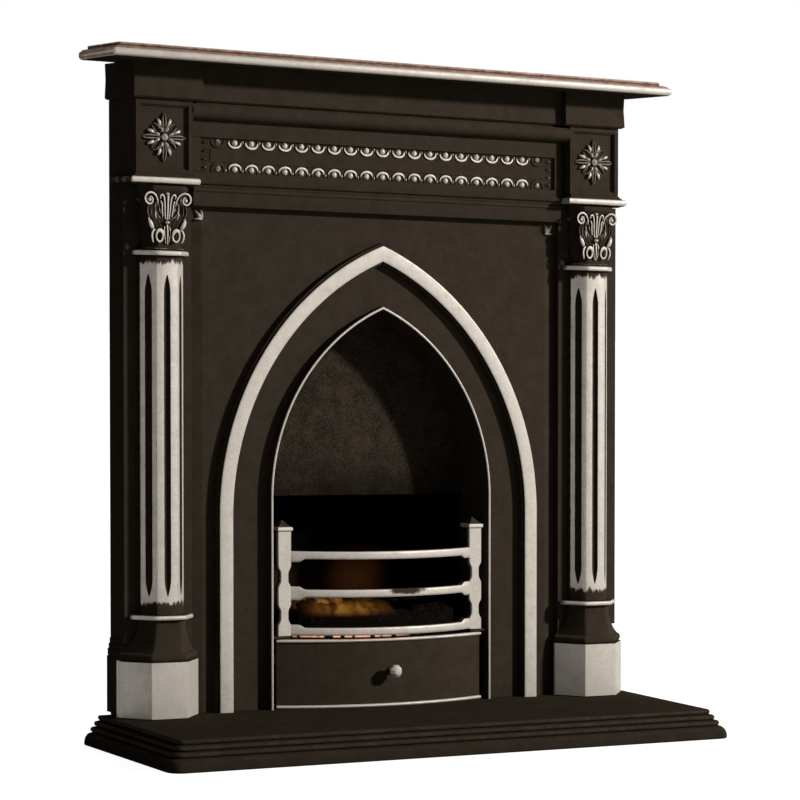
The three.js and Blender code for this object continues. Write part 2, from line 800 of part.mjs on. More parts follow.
function makeRoll(bottom, front) {
  const steps = 8;
  const centre = bottom + rollHeight / 2;
  const back = front - gap;
  const profile = [];
  for (let i = 0; i <= steps; i += 1) {
    const angle = -Math.PI / 2 + (i * Math.PI) / steps;
    const y = back - 0.5 - (rollFront - friezeFront - gap - 0.5) * Math.cos(angle);
    profile.push([y, centre + (rollHeight / 2) * Math.sin(angle)]);
  }
  profile.push([back, blockTop], [back, bottom]);
  const half = blockInner - gap;
  place('roll_moulding', raiseSide(profile, -half, half), 'blackIron');
}

function makeFascia() {
  const outer = bodyHalfWidth + fasciaOverhang;
  const inner = pilasterInner - fasciaOverhang + 1;
  const hollow = outer - castWall;
  const back = -fasciaFront + 2.5 * castWall;
  const plan = [
    [-outer, wallReturn], [-outer, -fasciaBlockFront], [-inner, -fasciaBlockFront],
    [-inner, -fasciaFront], [inner, -fasciaFront], [inner, -fasciaBlockFront],
    [outer, -fasciaBlockFront], [outer, wallReturn], [hollow, wallReturn],
    [hollow, back], [-hollow, back], [-hollow, wallReturn],
  ];
  const ease = 3;
  const levels = [
    { plan: easedFascia(plan, 4), z: fasciaBottom },
    { plan: easedFascia(plan, 0), z: fasciaBottom + ease },
    { plan: easedFascia(plan, 1.6), z: fasciaBottom + fasciaHeight * 0.55 },
    { plan: easedFascia(plan, 0.4), z: fasciaBottom + fasciaHeight },
  ];
  place('bed_fascia', loft(levels), 'blackIron');
}

// The front and outer faces of the fascia plan drawn in by inset.
function easedFascia(plan, inset) {
  const outer = bodyHalfWidth + fasciaOverhang;
  return plan.map(([x, y], index) => {
    const faced = index >= 1 && index <= 6;
    const onSide = Math.abs(x) === outer;
    return [onSide ? x - Math.sign(x) * inset : x, faced ? y + inset : y];
  });
}

function makeShelf() {
  const corner = 4;
  const bottom = shelfBottom;
  const rim = bottom + shelfRimHeight;
  const step = rim + shelfSlopeHeight;
  const top = step + shelfStepHeight;
  const shape = [
    [5, bottom], [0.8, bottom + 2], [0, bottom + 5], [0.8, rim - 2], [3, rim],
    [shelfStepInset, step], [shelfStepInset, top - 1.5], [shelfStepInset + 1.5, top],
  ];
  const levels = shape.map(([inset, z]) => ({
    plan: roundedPlan(shelfHalfWidth - inset, -shelfDepth + inset, 0, corner, 2),
    z,
  }));
  place('mantel_shelf', loft(levels), 'highlight');
}

function makeSmokePlate() {
  const front = revealBack + gap;
  const outline = openingArch(-smokePlateMargin, smokePlateBottom);
  const plate = raiseFront(outline, front, front + smokePlateThickness);
  place('smoke_plate', plate, 'mottled');
}

function makeFirebox() {
  const half = (y) => fireboxFrontHalf
    - ((fireboxFrontHalf - fireboxBackHalf) * (y - fireboxFront)) / fireboxDepth;
  const front = fireboxFront;
  const back = fireboxBack;
  const cheekPlan = [
    [half(front), front], [half(front) + brickWall + 12, front],
    [half(back) + brickWall + 12, back], [half(back), back],
  ];
  const ledgeBack = front + 80;
  const ledgePlan = [
    [half(front) - 28, front + 4], [half(front) + 2, front + 4],
    [half(ledgeBack) + 2, ledgeBack], [half(ledgeBack) - 14, ledgeBack],
  ];
  const ledge = raisePlan(ledgePlan, grateBottom - gap - 12, grateBottom - gap);
  placePair('fire_cheek', raisePlan(cheekPlan, 0, fireboxTop).add(ledge), 'firebrick');
  const spread = half(back) + brickWall + 12;
  const knee = 330;
  const lean = 45;
  const profile = [
    [back + gap, 0], [back + gap + brickWall + 15, 0], [back + gap + brickWall + 15, fireboxTop],
    [back + gap, fireboxTop],
  ];
  const backBrick = raiseSide(profile, -spread, spread);
  const face = [
    [back + gap + 1, knee - 60], [back + gap + 1, fireboxTop], [back - lean, fireboxTop],
    [back - lean, knee + 90],
  ];
  const bulge = raiseSide(face, -half(back) + 4, half(back) - 4);
  place('fireback', backBrick.add(bulge), 'firebrick');
  makeBackHearth(half);
}

// The raised floor behind the hearth that the ash drawer runs back over.
function makeBackHearth(half) {
  const wide = bodyHalfWidth - castWall - lugSize - 20;
  const front = fireboxFront - gap;
  const back = fireboxBack;
  const plan = [
    [-wide, gap], [wide, gap], [wide, front], [half(front) - gap, front],
    [half(back) - gap, back], [gap - half(back), back], [gap - half(front), front], [-wide, front],
  ];
  place('back_hearth', raisePlan(plan, 0, hearthHeight), 'firebrick');
}

function makeHood() {
  const front = fireboxFront;
  const back = fireboxBack + brickWall;
  const flueY = (front + back) / 2;
  const wide = fireboxFrontHalf + 20;
  const cut = (w, inset) => rectanglePlan(w - inset, front + inset, back - inset);
  const neck = (inset) => rectanglePlan(flueHalfWidth - inset, flueY - flueHalfDepth + inset,
    flueY + flueHalfDepth - inset);
  const top = flueBottom + flueHeight;
  const outer = loft([
    { plan: cut(wide, 0), z: hoodBottom }, { plan: neck(0), z: flueBottom }, { plan: neck(0), z: top },
  ]);
  const inner = loft([
    { plan: cut(wide, hoodWall), z: hoodBottom - 1 }, { plan: neck(hoodWall), z: flueBottom },
    { plan: neck(hoodWall), z: top + 1 },
  ]);
  const axisZ = flueBottom + flueHeight / 2;
  const bore = rod(spindleRadius + spindleClearance, -flueHalfWidth - 5, flueHalfWidth + 5,
    flueY, axisZ, 24);
  place('smoke_hood', outer.subtract(inner).subtract(bore), 'blackIron');
  makeDamper(flueY, axisZ);
}

// A balanced flap on a spindle, standing open; a quarter turn shuts the flue.
function makeDamper(flueY, axisZ) {
  const halfX = flueHalfWidth - hoodWall - damperClearance;
  const halfSpan = flueHalfDepth - hoodWall - damperClearance;
  const plate = box(-halfX, halfX, flueY - damperThickness / 2, flueY + damperThickness / 2,
    axisZ - halfSpan, axisZ + halfSpan);
  const bore = rod(spindleRadius + gap, -halfX - 5, halfX + 5, flueY, axisZ, 24);
  const sleeve = rod(spindleRadius + 5, -halfX, halfX, flueY, axisZ, 24);
  place('damper_plate', plate.add(sleeve).subtract(bore), 'blackIron');
  const reach = flueHalfWidth + spindleReach;
  const spindle = rod(spindleRadius, -flueHalfWidth - 4, reach, flueY, axisZ, 24);
  const handle = box(reach - 6, reach, flueY - 4, flueY + 4, axisZ - 60, axisZ + 2);
  place('damper_spindle', spindle.add(handle), 'steel');
}

function makeDrawer() {
  const front = drawerBeadRise;
  const strip = (rise, z0, z1) => raisePlan(
    bowStrip(drawerHalfWidth, drawerSide, drawerBow, -rise, drawerFrontWall), z0, z1);
  const knobZ = drawerPlateBottom + drawerFrontHeight * 0.53;
  const faceY = -drawerSide - drawerBow;
  const bore = pin(knobShankRadius + gap, faceY - 5, faceY + drawerFrontWall + 15, 0, knobZ);
  const plate = strip(0, drawerPlateBottom, drawerPlateTop).subtract(bore);
  place('ash_cover', plate, 'blackIron');
  place('cover_bottom_bead', strip(front, drawerBottom, drawerPlateBottom - gap), 'highlight');
  place('cover_top_bead', strip(front, drawerPlateTop + gap, drawerTop), 'highlight');
  makePan(bore);
  makeKnob(faceY, knobZ);
}

function panPlan(inset) {
  const offset = drawerFrontWall + gap + inset;
  const half = panHalfWidth - inset;
  const front = bowWithin(drawerHalfWidth, drawerSide, drawerBow, offset, half);
  return [...front, [half, panBack - inset], [-half, panBack - inset]];
}

function makePan(bore) {
  const bottom = drawerBottom;
  const outer = raisePlan(panPlan(0), bottom, bottom + panHeight);
  const inner = raisePlan(panPlan(panWall), bottom + panWall, bottom + panHeight + 5);
  place('ash_pan', outer.subtract(inner).subtract(bore), 'steel');
}

function makeKnob(faceY, knobZ) {
  const tip = -knobReach;
  const inside = drawerFrontWall + panWall + nutHeight + 3;
  const profile = [
    [0, inside], [knobShankRadius, inside], [knobShankRadius, -gap], [knobNeckRadius + 3, -gap],
    [knobNeckRadius, -5], [knobNeckRadius, -11], [knobRadius - 2, -15], [knobRadius, -19],
    [knobRadius, -23], [knobRadius * 0.62, tip + 0.6], [0, tip],
  ];
  const knob = turned(profile.reverse(), 8);
  knob.translate(0, faceY, knobZ);
  place('ash_knob', toSolid(knob), 'highlight');
  const nutFront = faceY + drawerFrontWall + gap + panWall + gap;
  const nut = pin(nutRadius, nutFront, nutFront + nutHeight, 0, knobZ, 6)
    .subtract(pin(knobShankRadius + gap, nutFront - 1, nutFront + nutHeight + 1, 0, knobZ, 12));
  place('knob_nut', nut, 'steel');
}

function barStrip(z0, z1, from, to) {
  const outer = bowPoints(barsHalfWidth, barsSide, barsBow, 0);
  const inner = bowPoints(barsHalfWidth, barsSide, barsBow, barDepth).reverse();
  const strip = raisePlan([...outer, ...inner], z0, z1);
  if (from === undefined) return strip;
  const reach = barsSide + barsBow + barDepth;
  return strip.intersect(box(from, to, -reach, reach, z0 - 1, z1 + 1));
}

function makeFrontBars() {
  let bars = null;
  const add = (solid) => {
    bars = bars === null ? solid : bars.add(solid);
  };
  const lugEdges = [[0, 1], [1, 1], [1, 0]];
  lugEdges.forEach(([down, up], level) => {
    const z0 = barsBottom + level * barPitch + (level > 0 ? 1 : 0);
    add(barStrip(z0, z0 + barHeight));
    for (const side of [-1, 1]) {
      const end = side * (barsHalfWidth + 1);
      const start = side * (barsHalfWidth - lugLength);
      const lug = barStrip(z0 - down * lugRise, z0 + barHeight + up * lugRise,
        Math.min(start, end), Math.max(start, end));
      add(lug);
    }
  });
  for (const side of [-1, 1]) add(makePost(side));
  place('front_bars', bars, 'highlight');
  for (const [name, side] of [['left', -1], ['right', 1]]) makeCap(name, side);
}

// A flat post, waisted between the bars.
function makePost(side) {
  const half = postWidth / 2;
  const x = side * (barsHalfWidth + half - 1);
  const left = [];
  const waist = (low) => [[half, low + 18], [half - postWaist, low + 30],
    [half - postWaist, low + 44], [half, low + 56]];
  left.push([half, 0], ...waist(0), ...waist(barPitch), [half, postHeight]);
  const outline = [...left, ...left.slice().reverse().map(([dx, z]) => [-dx, z])]
    .map(([dx, z]) => [x - dx, barsBottom + z]);
  return raiseFront(outline.reverse(), -barsSide, -barsSide + postDepth);
}

function makeCap(name, side) {
  const x = side * (barsHalfWidth + postWidth / 2 - 1);
  const bottom = barsBottom + postHeight + gap;
  const front = -barsSide - 3;
  const plan = (inset) => [
    [x - capSide / 2 + inset, front + inset], [x + capSide / 2 - inset, front + inset],
    [x + capSide / 2 - inset, front + capDepth - inset],
    [x - capSide / 2 + inset, front + capDepth - inset],
  ];
  const cap = loft([
    { plan: plan(0), z: bottom }, { plan: plan(0), z: bottom + capHeight },
    { plan: plan(2), z: bottom + capHeight + 0.5 },
    { plan: plan(capSide / 2 - 0.5), z: bottom + capHeight + capPeak },
  ]);
  place(`${name}_post_cap`, cap, 'highlight');
}

function gratePlan(inset) {
  const offset = barDepth + grateInset + inset;
  const half = Math.min(grateHalfWidth, barsHalfWidth - 6) - inset;
  const front = bowWithin(barsHalfWidth, barsSide, barsBow, offset, half);
  const bend = fireboxFront - 10;
  return [...front, [half, bend], [grateBackHalf - inset, grateBack - inset],
    [-grateBackHalf + inset, grateBack - inset], [-half, bend]];
}

function makeBottomGrate() {
  let grate = raisePlan(gratePlan(0), grateBottom, grateBottom + grateThickness);
  const pitch = (2 * (grateBackHalf - 8)) / grateSlots;
  for (let i = 0; i < grateSlots; i += 1) {
    const x = -grateBackHalf + 8 + pitch * (i + 0.5);
    const radius = Math.abs(x) / barsHalfWidth;
    const front = -barsSide - barsBow * (1 - radius * radius) + barDepth + grateInset + 12;
    grate = grate.subtract(box(x - grateSlotWidth / 2, x + grateSlotWidth / 2, front,
      grateBack - 14, grateBottom - 1, grateBottom + grateThickness + 1));
  }
  place('bottom_grate', grate, 'blackIron');
}

function makeFuel() {
  const levels = [
    { plan: gratePlan(fuelInset), z: fuelBottom },
    { plan: gratePlan(fuelInset + 3), z: fuelBottom + fuelHeight * 0.7 },
    { plan: gratePlan(fuelInset + 24), z: fuelBottom + fuelHeight },
  ];
  place('fuel_bed', loft(levels), 'ember');
}

makeHearth();
makeSidePlates();
makeWallScrews();
makePlinths();
makeColumnBases();
makeRings();
makeShafts();
makeCapitals();
makeAbaci();
makeCornerBlocks();
makeRosettes();
makeFrontPanel();
makeArch();
makeCornerStops();
makeFrieze();
makeFascia();
makeShelf();
makeSmokePlate();
makeFirebox();
makeHood();
makeDrawer();
makeFrontBars();
makeBottomGrate();
makeFuel();

// The origin is under the middle of the whole piece, on the floor.
const backmost = fireboxBack + gap + brickWall + 15;
origin.position.y = (hearthDepth - backmost) / 2;

export default fireplace;
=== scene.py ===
import math
import random
from types import SimpleNamespace

import bpy
from mathutils import Matrix, Vector


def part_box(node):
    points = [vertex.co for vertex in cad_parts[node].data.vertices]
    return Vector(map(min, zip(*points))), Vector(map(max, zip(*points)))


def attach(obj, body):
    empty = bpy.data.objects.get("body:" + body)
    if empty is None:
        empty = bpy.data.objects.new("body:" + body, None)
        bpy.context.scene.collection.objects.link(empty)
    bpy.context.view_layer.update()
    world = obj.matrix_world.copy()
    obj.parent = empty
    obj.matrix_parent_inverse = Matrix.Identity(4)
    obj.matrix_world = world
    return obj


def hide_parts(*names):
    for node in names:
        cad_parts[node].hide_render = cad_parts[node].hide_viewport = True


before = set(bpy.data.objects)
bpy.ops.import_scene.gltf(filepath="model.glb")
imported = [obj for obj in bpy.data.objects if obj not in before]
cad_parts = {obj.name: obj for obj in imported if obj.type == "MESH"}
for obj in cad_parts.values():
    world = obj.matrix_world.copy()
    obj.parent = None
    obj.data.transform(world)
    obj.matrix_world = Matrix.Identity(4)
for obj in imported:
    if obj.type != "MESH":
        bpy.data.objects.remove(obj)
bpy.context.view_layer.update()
print("stage: frame loaded")

# Pieces are drawn in millimetres, with Y = 0 at the wall face behind the shelf. Materials,
# lamps and the camera are set in metres.
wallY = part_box("mantel_shelf")[1][1] * 1000


# The room that the model's own solid takes up.
def span(node):
    low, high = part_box(node)
    return SimpleNamespace(
        left=low.x * 1000, right=high.x * 1000, front=low.y * 1000 - wallY,
        back=high.y * 1000 - wallY, low=low.z * 1000, top=high.z * 1000,
        middle=(low.z + high.z) * 500, rise=(high.z - low.z) * 500,
    )


def clamp(low, value, high):
    return min(high, max(low, value))


def smooth(low, high, value):
    share = clamp(0.0, (value - low) / (high - low), 1.0)
    return share * share * (3 - 2 * share)


# Angles in equal steps, both ends included. The ends are given in degrees.
def arc(steps, start=-90.0, end=90.0):
    return [math.radians(start + (end - start) * i / steps) for i in range(steps + 1)]


# A half round from its foot to its top: how far out, how far up (-1 to 1), and the polish.
def halfRound(steps, endDimming):
    points = []
    for i, angle in enumerate(arc(steps)):
        points.append((math.cos(angle), math.sin(angle), 1.0 if 0 < i < steps else endDimming))
    return points


# Points, faces and one polish value a point: 0 is blackened iron, 1 is polished.
class Shape:
    def __init__(self, points=(), faces=(), polish=()):
        self.points = list(points)
        self.faces = list(faces)
        self.polish = list(polish)

    def join(self, *others):
        for other in others:
            start = len(self.points)
            self.points += other.points
            self.polish += other.polish
            self.faces += [tuple(start + i for i in face) for face in other.faces]
        return self

    # A copy with each point moved by a function of its x, y and z.
    def changed(self, change):
        return Shape([change(*point) for point in self.points], self.faces, self.polish)

    def mirrored(self):
        copy = self.changed(lambda x, y, z: (-x, y, z))
        copy.faces = [tuple(reversed(face)) for face in self.faces]
        return copy

    def dimmed(self, level):
        return Shape(self.points, self.faces, [value * level for value in self.polish])


def addObject(name, data=None):
    item = bpy.data.objects.new(name, data)
    bpy.context.scene.collection.objects.link(item)
    return item


def makePiece(name, shape, material, node, body="surround", angle=30):
    mesh = bpy.data.meshes.new(name)
    points = [(x / 1000, (y + wallY) / 1000, z / 1000) for x, y, z in shape.points]
    mesh.from_pydata(points, [], shape.faces)
    mesh.validate()
    attribute = mesh.attributes.new("polish", "FLOAT", "POINT")
    attribute.data.foreach_set("value", shape.polish)
    mesh.polygons.foreach_set("use_smooth", [True] * len(mesh.polygons))
    mesh.set_sharp_from_angle(angle=math.radians(angle))
    mesh.materials.append(material)
    piece = addObject(name, mesh)
    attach(piece, body)
    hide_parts(node)


def makePair(name, shape, material, node, angle=30):
    makePiece("right_" + name, shape, material, "right_" + node, angle=angle)
    makePiece("left_" + name, shape.mirrored(), material, "left_" + node, angle=angle)


# A skin through rings of points, closed at both ends, with a row of polish for each ring.
def skin(rings, polish=None):
    count = len(rings[0])
    last = (len(rings) - 1) * count
    if polish is None:
        polish = [[0.0] * count] * len(rings)
    faces = []
    for start in range(0, last, count):
        for i in range(count):
            j = (i + 1) % count
            faces.append((start + i, start + j, start + count + j, start + count + i))
    faces.append(tuple(reversed(range(count))))
    faces.append(tuple(range(last, last + count)))
    points = [point for ring in rings for point in ring]
    return Shape(points, faces, [value for row in polish for value in row])


# Levels of (plan, z, polish) from the lowest up. Plans run anticlockwise seen from above.
def stack(levels):
    rings = [[(x, y, z) for x, y in plan] for plan, z, _ in levels]
    return skin(rings, [[polish] * len(rings[0]) for _, _, polish in levels])


def boxPlan(x0, x1, y0, y1, inset):
    return [
        (x0 + inset, y0 + inset), (x1 - inset, y0 + inset), (x1 - inset, y1 - inset),
        (x0 + inset, y1 - inset),
    ]


def boxShape(x0, x1, y0, y1, z0, z1, polish=0.0, ease=0.6):
    levels = ((ease, z0), (0, z0 + ease), (0, z1 - ease), (ease, z1))
    return stack([(boxPlan(x0, x1, y0, y1, inset), z, polish) for inset, z in levels])


# A slab's plan with its two front corners rounded.
def roundedPlan(half, front, back, radius, steps):
    points = [(half, back), (-half, back)]
    for side, start in ((-1, 180), (1, 270)):
        for angle in arc(steps, start, start + 90):
            x = side * (half - radius) + radius * math.cos(angle)
            points.append((x, front + radius + radius * math.sin(angle)))
    return points


# Reverses a shape whose faces point in, judged by its signed volume.
def turnOutwards(shape):
    volume = 0.0
    for face in shape.faces:
        a, *others = [Vector(shape.points[i]) for i in face]
        for b, c in zip(others, others[1:]):
            volume += a.dot(b.cross(c))
    if volume < 0:
        shape.faces = [tuple(reversed(face)) for face in shape.faces]
    return shape


# An outline in Y and Z drawn straight across from x0 to x1.
def drawAcross(profile, x0, x1):
    return turnOutwards(skin([[(x, y, z) for y, z in profile] for x in (x0, x1)]))


# A node tree with short ways to add nodes to it.
class Wiring:
    def __init__(self, tree):
        self.tree = tree

    def node(self, kind, **settings):
        node = self.tree.nodes.new("ShaderNode" + kind)
        for key, value in settings.items():
            setattr(node, key, value)
        return node

    # Each socket gets a link where its source is a socket, and else a value.
    def feed(self, node, sources):
        for socket, source in sources.items():
            if isinstance(source, bpy.types.NodeSocket):
                self.tree.links.new(source, node.inputs[socket])
            else:
                node.inputs[socket].default_value = source

    def math(self, operation, first, second=0.0):
        node = self.node("Math", operation=operation)
        self.feed(node, {0: first, 1: second})
        return node.outputs[0]

    def add(self, first, second):
        return self.math("ADD", first, second)

    def subtract(self, first, second):
        return self.math("SUBTRACT", first, second)

    def multiply(self, first, second):
        return self.math("MULTIPLY", first, second)

    # How far a value lies inside its limits, negative outside them.
    def within(self, value, low, high):
        return self.math("MINIMUM", self.subtract(value, low), self.subtract(high, value))

    def ramp(self, value, low, high, toLow=0.0, toHigh=1.0):
        node = self.node("MapRange", interpolation_type="SMOOTHSTEP")
        self.feed(node, {
            "Value": value, "From Min": low, "From Max": high, "To Min": toLow, "To Max": toHigh,
        })
        return node.outputs["Result"]

    def mixColor(self, share, first, second):
        node = self.node("Mix", data_type="RGBA")
        self.feed(node, {0: share, 6: first, 7: second})
        return node.outputs[2]

    def mixValue(self, share, first, second):
        node = self.node("Mix", data_type="FLOAT")
        self.feed(node, {0: share, 2: first, 3: second})
        return node.outputs[0]

    # Object coordinates, times a factor for each axis where a stretch is given.
    def place(self, stretch=None):
        place = self.node("TexCoord").outputs["Object"]
        if stretch is None:
            return place
        node = self.node("VectorMath", operation="MULTIPLY")
        self.feed(node, {0: place, 1: stretch})
        return node.outputs[0]

    def axes(self, vector):
        node = self.node("SeparateXYZ")
        self.feed(node, {0: vector})
        return node.outputs

    def noise(self, scale, detail, roughness, stretch=None):
        node = self.node("TexNoise")
        self.feed(node, {
            "Scale": scale, "Detail": detail, "Roughness": roughness,
            "Vector": self.place(stretch),
        })
        return node.outputs["Fac"]

    def bump(self, height, strength, distance):
        node = self.node("Bump")
        self.feed(node, {"Height": height, "Strength": strength, "Distance": distance})
        return node.outputs["Normal"]

    def group(self, tree, sources):
        node = self.node("Group", node_tree=tree)
        self.feed(node, sources)
        return node.outputs

    # 1 for the rays that see the pale background, 0 for those that light the object.
    def seenRays(self):
        rays = self.node("LightPath").outputs
        seen = self.math("MAXIMUM", rays["Is Camera Ray"], rays["Is Glossy Ray"])
        return self.math("MAXIMUM", seen, rays["Is Transmission Ray"])


# An empty group, with its wiring, its inputs and its output node.
def startGroup(name, inputs, outputs):
    tree = bpy.data.node_groups.new(name, "ShaderNodeTree")
    for label, value in inputs.items():
        socket = tree.interface.new_socket(label, in_out="INPUT", socket_type="NodeSocketFloat")
        socket.default_value = value
    for label in outputs:
        tree.interface.new_socket(label, in_out="OUTPUT", socket_type="NodeSocketFloat")
    given = tree.nodes.new("NodeGroupInput").outputs
    return Wiring(tree), given, tree.nodes.new("NodeGroupOutput")


# Sand-cast surface: a fine pitted grain and a broad mottle.
def makeCastGrain():
    graph, given, out = startGroup(
        "castGrain", {"Fineness": 700.0, "Pitting": 0.35}, ["Height", "Mottle"]
    )
    fine = graph.noise(given["Fineness"], 5.0, 0.65)
    cells = graph.node("TexVoronoi")
    cellScale = graph.multiply(given["Fineness"], 0.3)
    graph.feed(cells, {"Vector": graph.place(), "Scale": cellScale})
    pits = graph.ramp(cells.outputs["Distance"], 0.05, 0.3)
    graph.feed(out, {
        "Height": graph.add(fine, graph.multiply(pits, given["Pitting"])),
        "Mottle": graph.ramp(graph.noise(34.0, 9.0, 0.78), 0.34, 0.66),
    })
    return graph.tree


# Where hand polishing has reached: a polish value broken up by patches and fine rubbing.
def makeWornPolish():
    graph, given, out = startGroup(
        "wornPolish", {"Polish": 1.0, "Breakup": 0.5, "Patch Scale": 90.0},
        ["Mask", "Tarnish", "Rubbing"],
    )
    patches = graph.subtract(graph.noise(given["Patch Scale"], 7.0, 0.68), 0.5)
    level = graph.add(given["Polish"], graph.multiply(patches, given["Breakup"]))
    graph.feed(out, {
        "Mask": graph.ramp(level, 0.42, 0.66),
        "Tarnish": graph.ramp(graph.noise(38.0, 10.0, 0.8), 0.4, 0.7),
        "Rubbing": graph.ramp(graph.noise(520.0, 4.0, 0.7), 0.36, 0.62),
    })
    return graph.tree


# A band in height with ragged brushed ends.
def makeRaggedBand():
    graph, given, out = startGroup(
        "raggedBand", {"Low": 0.25, "High": 0.85, "Raggedness": 0.012}, ["Mask"]
    )
    rough = graph.subtract(graph.noise(105.0, 6.0, 0.72, (1.0, 1.0, 0.25)), 0.5)
    shift = graph.multiply(rough, given["Raggedness"])
    height = graph.add(graph.axes(graph.place())["Z"], shift)
    inside = graph.within(height, given["Low"], given["High"])
    graph.feed(out, {"Mask": graph.ramp(inside, -0.0035, 0.005)})
    return graph.tree


# Settled dust on what faces up.
def makeDust():
    graph, given, out = startGroup("settledDust", {"Amount": 0.3}, ["Mask"])
    normal = graph.node("NewGeometry").outputs["Normal"]
    upward = graph.ramp(graph.axes(normal)["Z"], 0.35, 1.0)
    drift = graph.ramp(graph.noise(38.0, 8.0, 0.7), 0.35, 0.75)
    lying = graph.multiply(upward, drift)
    graph.feed(out, {"Mask": graph.multiply(lying, given["Amount"])})
    return graph.tree


# A patch about a centre in X, between two heights and before a back: where the coals glow, and
# where painted firelight lies on the firebrick and the grate.
def makeGlowAndFirelight():
    graph, given, out = startGroup("glowAndFirelight", {
        "Centre": 0.0, "Reach": 0.1, "Low": 0.2, "High": 0.24, "Edge": 0.008, "Back": 0.255,
    }, ["Mask"])
    place = graph.axes(graph.place())
    aside = graph.math("ABSOLUTE", graph.subtract(place["X"], given["Centre"]))
    across = graph.ramp(graph.math("DIVIDE", aside, given["Reach"]), 0.15, 1.0, 1.0, 0.0)
    inside = graph.within(place["Z"], given["Low"], given["High"])
    patch = graph.multiply(across, graph.ramp(inside, 0.0, given["Edge"]))
    inward = graph.ramp(graph.subtract(given["Back"], place["Y"]), 0.0, 0.004)
    graph.feed(out, {"Mask": graph.multiply(patch, inward)})
    return graph.tree


castGrain = makeCastGrain()
wornPolish = makeWornPolish()
raggedBand = makeRaggedBand()
settledDust = makeDust()
glowAndFirelight = makeGlowAndFirelight()


def startMaterial(name):
    material = bpy.data.materials.new(name)
    material.use_nodes = True
    tree = material.node_tree
    return material, Wiring(tree), tree.nodes["Principled BSDF"]


ironLook = {
    "black": (0.048, 0.037, 0.0266, 1.0),
    "blackWorn": (0.0625, 0.0488, 0.036, 1.0),
    "thin": (0.15, 0.126, 0.102, 1.0),
    # The shelf's half-polished colour: partly tarnish, partly painted shade and painted warm
    # reflection on silver turned from the light.
    "shadedBronze": (0.4, 0.24, 0.18, 1.0),
    "dust": (0.075, 0.062, 0.05, 1.0),
    "silver": (0.7, 0.65, 0.585, 1.0),
    "silverRubbed": (0.56, 0.515, 0.455, 1.0),
    "silverTarnish": (0.545, 0.495, 0.43, 1.0),
    "blackRoughness": (0.56, 0.69),
    "silverRoughness": (0.46, 0.62),
    "silverMetallic": 0.29,
    "specular": 0.0,
    "grainStrength": 0.6,
    "grainHeight": 0.00034,
}


# Blackened cast iron. Where it is polished it turns to bare metal, duller where rubbed thin. On the
# shelf the thin colour is a bronze that is partly tarnish and partly painted shade and painted warm
# reflection.
def ironMaterial(
    name, polished=True, breakup=0.5, patches=90.0, band=None, dust=0.3, depth=1.0, thin="thin"
):
    material, graph, shader = startMaterial(name)
    look = ironLook
    grain = graph.group(castGrain, {})
    film = graph.group(settledDust, {"Amount": dust})
    blacks = [tuple(value * depth for value in look[key]) for key in ("black", "blackWorn")]
    color = graph.mixColor(grain["Mottle"], *blacks)
    color = graph.mixColor(film["Mask"], color, look["dust"])
    rough = graph.mixValue(grain["Mottle"], *look["blackRoughness"])
    if polished:
        attribute = graph.node("Attribute", attribute_name="polish")
        worn = graph.group(wornPolish, {
            "Polish": attribute.outputs["Fac"], "Breakup": breakup, "Patch Scale": patches,
        })
        mask = worn["Mask"]
        if band:
            mask = graph.multiply(mask, graph.group(raggedBand, band)["Mask"])
        bright = graph.mixColor(worn["Rubbing"], look["silverRubbed"], look["silver"])
        silver = graph.mixColor(worn["Tarnish"], bright, look["silverTarnish"])
        color = graph.mixColor(graph.ramp(mask, 0.0, 0.5), color, look[thin])
        color = graph.mixColor(graph.ramp(mask, 0.35, 1.0), color, silver)
        silverRough = graph.mixValue(worn["Tarnish"], *look["silverRoughness"])
        rough = graph.mixValue(mask, rough, silverRough)
        graph.feed(shader, {"Metallic": graph.multiply(mask, look["silverMetallic"])})
    graph.feed(shader, {
        "Base Color": color, "Roughness": rough, "Specular IOR Level": look["specular"],
        "Normal": graph.bump(grain["Height"], look["grainStrength"], look["grainHeight"]),
    })
    return material


shaftBand = {"Low": 0.252, "High": 0.848, "Raggedness": 0.04}
blackIron = ironMaterial("blackIron", polished=False)
# The hearth's blacks are darkened to 0.7: painted shade, standing in for the dim light on its top.
hearthIron = ironMaterial("hearthIron", breakup=0.1, patches=40.0, dust=0.05, depth=0.7)
reliefIron = ironMaterial("reliefIron", breakup=0.55, patches=160.0)
polishedIron = ironMaterial("polishedIron", breakup=0.42, patches=70.0)
ornamentIron = ironMaterial("ornamentIron", breakup=0.5, patches=150.0)
borderIron = ironMaterial("borderIron", breakup=0.6, patches=120.0)
shaftIron = ironMaterial("shaftIron", breakup=0.46, patches=60.0, band=shaftBand)
shelfIron = ironMaterial("shelfIron", breakup=0.16, patches=70.0, thin="shadedBronze")

smokeLook = {
    "dark": (0.012, 0.0085, 0.006, 1.0),
    "pale": (0.082, 0.063, 0.047, 1.0),
    "soot": (0.006, 0.004, 0.003, 1.0),
    "sootTop": (0.46, 0.6),
    "roughness": 0.86,
}


# The smoke plate's speckled iron, sooty towards the fire.
def makeSmokeIron():
    material, graph, shader = startMaterial("smokeIron")
    look = smokeLook
    fine = graph.multiply(graph.noise(420.0, 3.0, 0.7), 0.6)
    blotch = graph.multiply(graph.noise(30.0, 8.0, 0.75), 0.4)
    speck = graph.ramp(graph.add(fine, blotch), 0.32, 0.68)
    grain = graph.group(castGrain, {"Fineness": 420.0, "Pitting": 0.6})
    drift = graph.multiply(graph.noise(14.0, 5.0, 0.6), 0.12)
    height = graph.add(graph.axes(graph.place())["Z"], drift)
    sooty = graph.ramp(height, *look["sootTop"], 0.75, 0.0)
    base = graph.mixColor(speck, look["dark"], look["pale"])
    graph.feed(shader, {
        "Base Color": graph.mixColor(sooty, base, look["soot"]),
        "Roughness": look["roughness"], "Specular IOR Level": 0.0,
        "Normal": graph.bump(grain["Height"], 0.8, 0.0006),
    })
    return material


